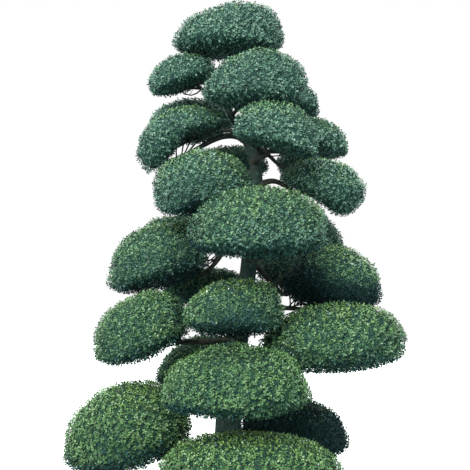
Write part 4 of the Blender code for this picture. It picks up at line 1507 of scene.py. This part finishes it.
def make_leaf_tree():
    tree, given, made = new_geometry_tree(
        "leaves_on_sprays",
        [
            ("Leaf", "Object", None),
            ("Leaves To A Spray", "Int", LEAVES_TO_A_SPRAY),
            ("Leaf Length", "Float", LEAF_LENGTH),
            ("Shoot Length", "Float", SHOOT_LENGTH),
            ("Lowest Lift", "Float", LOWEST_LIFT),
            ("Highest Lift", "Float", HIGHEST_LIFT),
            ("Golden Angle", "Float", GOLDEN_ANGLE),
        ],
    )
    copies = add_node(tree, "GeometryNodeDuplicateElements", domain="POINT")
    index = add_node(tree, "GeometryNodeInputIndex").outputs[0]
    number = copies.outputs["Duplicate Index"]
    last = compute(tree, "SUBTRACT", given.outputs["Leaves To A Spray"], 1.0)
    share = compute(tree, "DIVIDE", number, last)
    size = attribute(tree, "size", "FLOAT")
    spray_turn = add_node(tree, "FunctionNodeEulerToRotation")
    height = compute(tree, "MULTIPLY", share, given.outputs["Shoot Length"])
    height = compute(tree, "MULTIPLY", height, size)
    up = add_node(tree, "ShaderNodeCombineXYZ")
    rise = add_node(tree, "FunctionNodeRotateVector")
    move = add_node(tree, "GeometryNodeSetPosition")
    span = compute(tree, "SUBTRACT", given.outputs["Highest Lift"], given.outputs["Lowest Lift"])
    lift = compute(tree, "MULTIPLY_ADD", share, span, given.outputs["Lowest Lift"])
    lift = compute(tree, "ADD", lift, random_value(tree, -LIFT_CHANCE, LIFT_CHANCE, 3, index))
    swing = random_value(tree, -SWING_CHANCE, SWING_CHANCE, 4, index)
    round_shoot = compute(tree, "MULTIPLY_ADD", number, given.outputs["Golden Angle"], swing)
    turn = add_node(tree, "ShaderNodeCombineXYZ")
    leaf_turn = add_node(tree, "FunctionNodeEulerToRotation")
    both = add_node(tree, "FunctionNodeRotateRotation", rotation_space="LOCAL")
    growth = random_value(tree, *LEAF_GROWTH, 5, index)
    length = compute(tree, "MULTIPLY", given.outputs["Leaf Length"], growth)
    length = compute(tree, "MULTIPLY", length, size)
    leaf = add_node(tree, "GeometryNodeObjectInfo")
    place = add_node(tree, "GeometryNodeInstanceOnPoints")
    real = add_node(tree, "GeometryNodeRealizeInstances")
    change = compute(tree, "GREATER_THAN", random_value(tree, 0, 1, 10, index), 1 - OTHER_TINT_SHARE)
    step = compute(tree, "SUBTRACT", attribute(tree, "other_tint", "INT"), attribute(tree, "tint", "INT"))
    leaf_tint = compute(tree, "MULTIPLY_ADD", step, change, attribute(tree, "tint", "INT"))
    store = add_node(
        tree, "GeometryNodeStoreNamedAttribute", {"Name": "leaf_tint"}, data_type="FLOAT", domain="POINT"
    )
    join(
        tree,
        (given.outputs["Geometry"], copies.inputs["Geometry"]),
        (given.outputs["Leaves To A Spray"], copies.inputs["Amount"]),
        (attribute(tree, "turn", "FLOAT_VECTOR"), spray_turn.inputs[0]),
        (height, up.inputs["Z"]),
        (up.outputs[0], rise.inputs["Vector"]),
        (spray_turn.outputs[0], rise.inputs["Rotation"]),
        (copies.outputs["Geometry"], store.inputs["Geometry"]),
        (leaf_tint, store.inputs["Value"]),
        (store.outputs[0], move.inputs["Geometry"]),
        (rise.outputs[0], move.inputs["Offset"]),
        (random_value(tree, -ROLL_CHANCE, ROLL_CHANCE, 6, index), turn.inputs["X"]),
        (compute(tree, "MULTIPLY", lift, -1.0), turn.inputs["Y"]),
        (round_shoot, turn.inputs["Z"]),
        (turn.outputs[0], leaf_turn.inputs[0]),
        (spray_turn.outputs[0], both.inputs["Rotation"]),
        (leaf_turn.outputs[0], both.inputs["Rotate By"]),
        (given.outputs["Leaf"], leaf.inputs["Object"]),
        (move.outputs[0], place.inputs["Points"]),
        (leaf.outputs["Geometry"], place.inputs["Instance"]),
        (both.outputs[0], place.inputs["Rotation"]),
        (length, place.inputs["Scale"]),
        (place.outputs[0], real.inputs[0]),
    )
    painted = real.outputs[0]
    tint = attribute(tree, "leaf_tint", "FLOAT")
    for number_of_tint, green in enumerate(LEAF_GREENS):
        chosen = add_node(
            tree, "FunctionNodeCompare", {"Epsilon": 0.4}, data_type="FLOAT", operation="EQUAL"
        )
        chosen.inputs[1].default_value = number_of_tint
        paint = add_node(tree, "GeometryNodeSetMaterial", {"Material": green})
        join(tree, (tint, chosen.inputs[0]), (chosen.outputs[0], paint.inputs["Selection"]))
        join(tree, (painted, paint.inputs["Geometry"]))
        painted = paint.outputs[0]
    join(tree, (painted, made.inputs[0]))
    return tree


# %% Grow the leaves
def spray_mesh(name, sprays):
    """One point for each spray, with its turn, size and green."""
    mesh = bpy.data.meshes.new(name)
    mesh.from_pydata([tuple(spray.base) for spray in sprays], [], [])
    rng = random.Random(name)
    turns = []
    for spray in sprays:
        spin = Matrix.Rotation(rng.uniform(0, math.tau), 3, "Z")
        turns += (spray.way.to_track_quat("Z", "Y").to_matrix() @ spin).to_euler()
    mesh.attributes.new("turn", "FLOAT_VECTOR", "POINT").data.foreach_set("vector", turns)
    for field, kind in (("size", "FLOAT"), ("tint", "INT"), ("other_tint", "INT")):
        values = [getattr(spray, field) for spray in sprays]
        mesh.attributes.new(field, kind, "POINT").data.foreach_set("value", values)
    return mesh


def grow_leaves():
    leaf = add_object("leaf", leaf_mesh())
    tree = make_leaf_tree()
    pieces = []
    for number, clouds in enumerate(TIERS, 1):
        name = f"leaves_tier_{number}"
        sprays = [spray for cloud in clouds for spray in SPRAYS[cloud.name]]
        piece = grown(
            name, spray_mesh(name, sprays), tree,
            Leaf=leaf, Leaves_To_A_Spray=LEAVES_TO_A_SPRAY, Leaf_Length=LEAF_LENGTH,
            Shoot_Length=SHOOT_LENGTH, Golden_Angle=GOLDEN_ANGLE,
        )
        pieces.append((piece, clouds))
        print(name, "clouds:", len(clouds), "leaves:", len(piece.data.polygons) // 2)
    bpy.data.objects.remove(leaf, do_unlink=True)
    return pieces


leaf_pieces = grow_leaves()

# %% [markdown]
# ## The dark inside
#
# A clipped cloud is so dense that no light comes through it, and two hundred thousand leaves would still
# leave it full of holes. More leaves further in would cost as many triangles again and hardly be seen. So
# behind the sprays each cloud has a lumpy body in the material of deep-lying leaves. It ends a little above
# the clipped underside, so that twigs and forks show below it. Each of its vertices keeps how much other
# clouds shade it, by the rule that the sprays follow, for the material to read.

# %% Thicket
THICKET_SCALE = 0.935
THICKET_UNDER = 0.86
THICKET_ROUGHNESS = 0.060
THICKET_LUMP_SCALE = 24
THICKET_SIDES = 36
THICKET_RINGS = 16


def make_thicket(shape, cloud, shade):
    shallow = cloud._replace(under=cloud.under * THICKET_UNDER)
    rings = []
    for i in range(1, THICKET_RINGS):
        rise = -math.pi / 2 + math.pi * i / THICKET_RINGS
        ring = []
        for k in range(THICKET_SIDES):
            azimuth = math.tau * k / THICKET_SIDES
            point = cloud_point(shallow, azimuth, rise, THICKET_SCALE)
            push = noise.noise(point * THICKET_LUMP_SCALE) * THICKET_ROUGHNESS
            ring.append(point + (point - Vector(cloud.centre)) * push)
        rings.append(ring)
    first = len(shape.verts)
    loft(shape, rings)
    shape.verts.ensure_lookup_table()
    for vertex in shape.verts[first:]:
        vertex[shade] = shade_from_others(cloud, vertex.co)


def make_thickets():
    shape = bmesh.new()
    shade = shape.verts.layers.float.new("shade")
    for cloud in CLOUDS:
        make_thicket(shape, cloud, shade)
    return mesh_object("thicket", shape, THICKET)


thicket = make_thickets()
print("thicket faces:", len(thicket.data.polygons))

# %% [markdown]
# ## The pot
#
# The picture ends above the pot, so this is the plainest tub that such a tree is sold in: thrown clay,
# tapered, with a rolled band round the rim and five drain holes. A turned shape is one profile carried
# round its axis. `bmesh.ops.spin` does that, and the holes are cut with a Boolean.

# %% Pot
POT_HEIGHT = 0.60
POT_RIM_RADIUS = 0.52
POT_FOOT_RADIUS = 0.41
POT_WALL = 0.035
POT_FLOOR = 0.045
POT_BAND_HEIGHT = 0.075
POT_BAND_PROUD = 0.022
POT_SIDES = 112
POT_BAND_SLANT = 0.004
POT_MARK_RINGS = 24
POT_MARK_SCALE = 38
POT_MARK_DEPTH = 0.0012
CORNER_STEPS = 4


def pot_inside(height):
    slope = (POT_RIM_RADIUS - POT_FOOT_RADIUS) / POT_HEIGHT
    return POT_FOOT_RADIUS + slope * height - POT_WALL


def rounded_corner(before, corner, after, radius):
    """Points that round a corner of a profile, from two-number points."""
    corner = Vector(corner)
    to_before = (Vector(before) - corner).normalized() * radius
    to_after = (Vector(after) - corner).normalized() * radius
    points = []
    for i in range(CORNER_STEPS + 1):
        t = i / CORNER_STEPS
        points.append(corner + to_before * (1 - t) ** 2 + to_after * t**2)
    return points


def throw_marks(band_foot):
    """The outside of the wall from the foot to the band, with the shallow rings of the potter's wheel."""
    points = []
    for k in range(1, POT_MARK_RINGS):
        height = band_foot * k / POT_MARK_RINGS
        mark = POT_MARK_DEPTH * noise.noise(Vector((0, 0, height * POT_MARK_SCALE)))
        points.append(Vector((pot_inside(height) + POT_WALL + mark, height)))
    return points


def pot_profile():
    """Half the pot's section, from its underside out and up, over the rim and down to its floor."""
    band_foot = POT_HEIGHT - POT_BAND_HEIGHT
    wall = pot_inside(band_foot) + POT_WALL
    rim = POT_RIM_RADIUS + POT_BAND_PROUD
    inner = POT_RIM_RADIUS - POT_WALL
    # Each corner with the radius that rounds it.
    corners = (
        ((POT_FOOT_RADIUS, 0), 0.008),
        ((wall, band_foot), 0.006),
        ((wall + POT_BAND_PROUD, band_foot + POT_BAND_SLANT), 0.010),
        ((rim, POT_HEIGHT), 0.014),
        ((inner, POT_HEIGHT), 0.010),
        ((pot_inside(POT_FLOOR), POT_FLOOR), 0.010),
    )
    places = [(0, 0), *[corner for corner, _ in corners], (0, POT_FLOOR)]
    profile = [Vector((0, 0))]
    for i, (corner, radius) in enumerate(corners, 1):
        profile += rounded_corner(places[i - 1], corner, places[i + 1], radius)
        if i == 1:
            profile += throw_marks(band_foot)
    return profile + [Vector((0, POT_FLOOR))]


def turned(profile):
    shape = bmesh.new()
    verts = [shape.verts.new((point.x, 0, point.y)) for point in profile]
    edges = [shape.edges.new(pair) for pair in zip(verts, verts[1:])]
    bmesh.ops.spin(
        shape, geom=verts + edges, axis=(0, 0, 1), cent=(0, 0, 0),
        angle=math.tau, steps=POT_SIDES, use_duplicate=False,
    )
    bmesh.ops.remove_doubles(shape, verts=shape.verts, dist=1e-5)
    return shape


# %% Drain holes
DRAIN_HOLES = 5
DRAIN_RADIUS = 0.016
DRAIN_RING_RADIUS = 0.24
DRAIN_SIDES = 24


def cut_drains(pot):
    shape = bmesh.new()
    for i in range(DRAIN_HOLES):
        place = round_axis(math.tau * (i + 0.5) / DRAIN_HOLES, DRAIN_RING_RADIUS, POT_FLOOR / 2)
        bmesh.ops.create_cone(
            shape, cap_ends=True, segments=DRAIN_SIDES, radius1=DRAIN_RADIUS, radius2=DRAIN_RADIUS,
            depth=POT_FLOOR * 3, matrix=Matrix.Translation(place),
        )
    drills = mesh_object("drills", shape, CLAY)
    cut = pot.modifiers.new("drains", "BOOLEAN")
    cut.operation = "DIFFERENCE"
    cut.object = drills
    apply_modifier(pot, cut)
    bpy.data.objects.remove(drills, do_unlink=True)


pot = mesh_object("clay_pot", turned(pot_profile()), CLAY)
cut_drains(pot)
print("pot faces:", len(pot.data.polygons))

# %% [markdown]
# ## The soil
#
# Dark potting soil, level round the trunk and a little lower at the wall, with crumbs lying on it. The
# ground of it is fine rings raised by noise. The crumbs repeat, so a Geometry Nodes tree scatters them.

# %% Soil
SOIL_AT_WALL = 0.528
SOIL_LEVEL_RADIUS = 0.26
SOIL_FOOT_CLEAR = 0.012
SOIL_RINGS = 46
SOIL_SIDES = 110
SOIL_RELIEF = 0.006
SOIL_RELIEF_SCALE = 28
SOIL_EVEN_RINGS = 3


def soil_height(radius):
    share = limited((radius - SOIL_LEVEL_RADIUS) / (pot_inside(SOIL_AT_WALL) - SOIL_LEVEL_RADIUS))
    return SOIL_TOP + (SOIL_AT_WALL - SOIL_TOP) * share


def level_ring(radius, sides, height=0.0):
    return [round_axis(math.tau * k / sides, radius, height) for k in range(sides)]


def make_soil():
    foot = POT_FLOOR + SEAT_GAP
    outer = pot_inside(SOIL_AT_WALL) - 2 * SEAT_GAP
    rings = [level_ring(pot_inside(foot) - SOIL_FOOT_CLEAR, SOIL_SIDES, foot)]
    for i in range(SOIL_RINGS):
        radius = outer * (1 - i / SOIL_RINGS)
        relief = SOIL_RELIEF * min(i / SOIL_EVEN_RINGS, 1)
        ring = []
        for level in level_ring(radius, SOIL_SIDES):
            lumps = noise.fractal(level * SOIL_RELIEF_SCALE, 0.8, 2.2, 4) * relief
            ring.append(level + Vector((0, 0, soil_height(radius) + lumps)))
        rings.append(ring)
    shape = bmesh.new()
    loft(shape, rings, tip=True)
    return mesh_object("soil_top", shape, SOIL)


soil = make_soil()
print("soil faces:", len(soil.data.polygons))

# %% Crumbs
CRUMBS_PER_SQUARE_METRE = 1200
CRUMB_SEED = 4
CRUMB_SIZES = (0.003, 0.0085)
CRUMB_TILT = 0.6
CRUMB_FLATNESS = 0.6
CRUMB_LUMPS = 0.5
CRUMB_LUMP_SCALE = 1.3
CRUMB_WALL_CLEAR = 0.014
CRUMB_TRUNK_CLEAR = 0.16
CRUMB_GROUND_SIDES = 48


def crumb_mesh():
    shape = bmesh.new()
    bmesh.ops.create_icosphere(shape, subdivisions=1, radius=1)
    for vert in shape.verts:
        vert.co *= 1 + CRUMB_LUMPS * noise.noise(vert.co * CRUMB_LUMP_SCALE)
        vert.co.z *= CRUMB_FLATNESS
    return finished_mesh("crumb", shape)


def make_crumb_tree():
    tree, given, made = new_geometry_tree(
        "scattered_crumbs",
        [
            ("Crumb", "Object", None),
            ("Density", "Float", CRUMBS_PER_SQUARE_METRE),
            ("Seed", "Int", CRUMB_SEED),
            ("Soil", "Material", None),
        ],
    )
    scatter = add_node(tree, "GeometryNodeDistributePointsOnFaces")
    index = add_node(tree, "GeometryNodeInputIndex").outputs[0]
    crumb = add_node(tree, "GeometryNodeObjectInfo")
    turn = add_node(tree, "ShaderNodeCombineXYZ")
    place = add_node(tree, "GeometryNodeInstanceOnPoints")
    real = add_node(tree, "GeometryNodeRealizeInstances")
    paint = add_node(tree, "GeometryNodeSetMaterial")
    join(
        tree,
        (given.outputs["Geometry"], scatter.inputs["Mesh"]),
        (given.outputs["Density"], scatter.inputs["Density"]),
        (given.outputs["Seed"], scatter.inputs["Seed"]),
        (scatter.outputs["Points"], place.inputs["Points"]),
        (given.outputs["Crumb"], crumb.inputs["Object"]),
        (crumb.outputs["Geometry"], place.inputs["Instance"]),
        (random_value(tree, 0, math.tau, 7, index), turn.inputs["Z"]),
        (random_value(tree, -CRUMB_TILT, CRUMB_TILT, 8, index), turn.inputs["X"]),
        (turn.outputs[0], place.inputs["Rotation"]),
        (random_value(tree, *CRUMB_SIZES, 9, index), place.inputs["Scale"]),
        (place.outputs[0], real.inputs[0]),
        (real.outputs[0], paint.inputs["Geometry"]),
        (given.outputs["Soil"], paint.inputs["Material"]),
        (paint.outputs[0], made.inputs[0]),
    )
    return tree


def make_crumbs():
    """Crumbs on a ring of soil between the root flare and the wall."""
    shape = bmesh.new()
    loops = []
    for radius in (pot_inside(SOIL_AT_WALL) - CRUMB_WALL_CLEAR, SOIL_LEVEL_RADIUS, CRUMB_TRUNK_CLEAR):
        ring = level_ring(radius, CRUMB_GROUND_SIDES, soil_height(radius))
        loops.append([shape.verts.new(point) for point in ring])
    for outer, inner in zip(loops, loops[1:]):
        bridge(shape, outer, inner)
    crumb = add_object("crumb", crumb_mesh())
    crumbs = grown(
        "soil_crumbs", finished_mesh("crumb_ground", shape), make_crumb_tree(),
        Crumb=crumb, Density=CRUMBS_PER_SQUARE_METRE, Seed=CRUMB_SEED, Soil=SOIL,
    )
    bpy.data.objects.remove(crumb, do_unlink=True)
    return crumbs


crumbs = make_crumbs()
print("crumb faces:", len(crumbs.data.polygons))

# %% [markdown]
# ## Tie the pieces to the frame
#
# Every piece rides on the one body and stands for the solids that it replaces, which are hidden. The
# branches reach into every cloud. The twigs and leaves of a tier replace the clouds of that tier. The crumbs
# lie on the soil and replace nothing.

# %% Ride, replace and finish
SLOTS = (
    (trunk, "bark"), (boughs, "bark"), (branches, "bark"), (thicket, "foliage"),
    (pot, "pot"), (soil, "soil"), (crumbs, "soil"),
    *[(piece, "bark") for piece, _ in twig_pieces],
    *[(piece, "foliage") for piece, _ in leaf_pieces],
)
for piece, slot in SLOTS:
    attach(piece, "root")
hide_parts("trunk")
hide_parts(*["bough_" + cloud.name for cloud in CLOUDS if cloud.bough])
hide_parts("pot")
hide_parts("soil")
cloud_nodes = ["cloud_" + cloud.name for cloud in CLOUDS]
for piece in (branches, thicket):
    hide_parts(*cloud_nodes)
for piece, clouds in twig_pieces + leaf_pieces:
    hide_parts(*["cloud_" + cloud.name for cloud in clouds])

for piece, _ in SLOTS:
    piece.data.calc_loop_triangles()
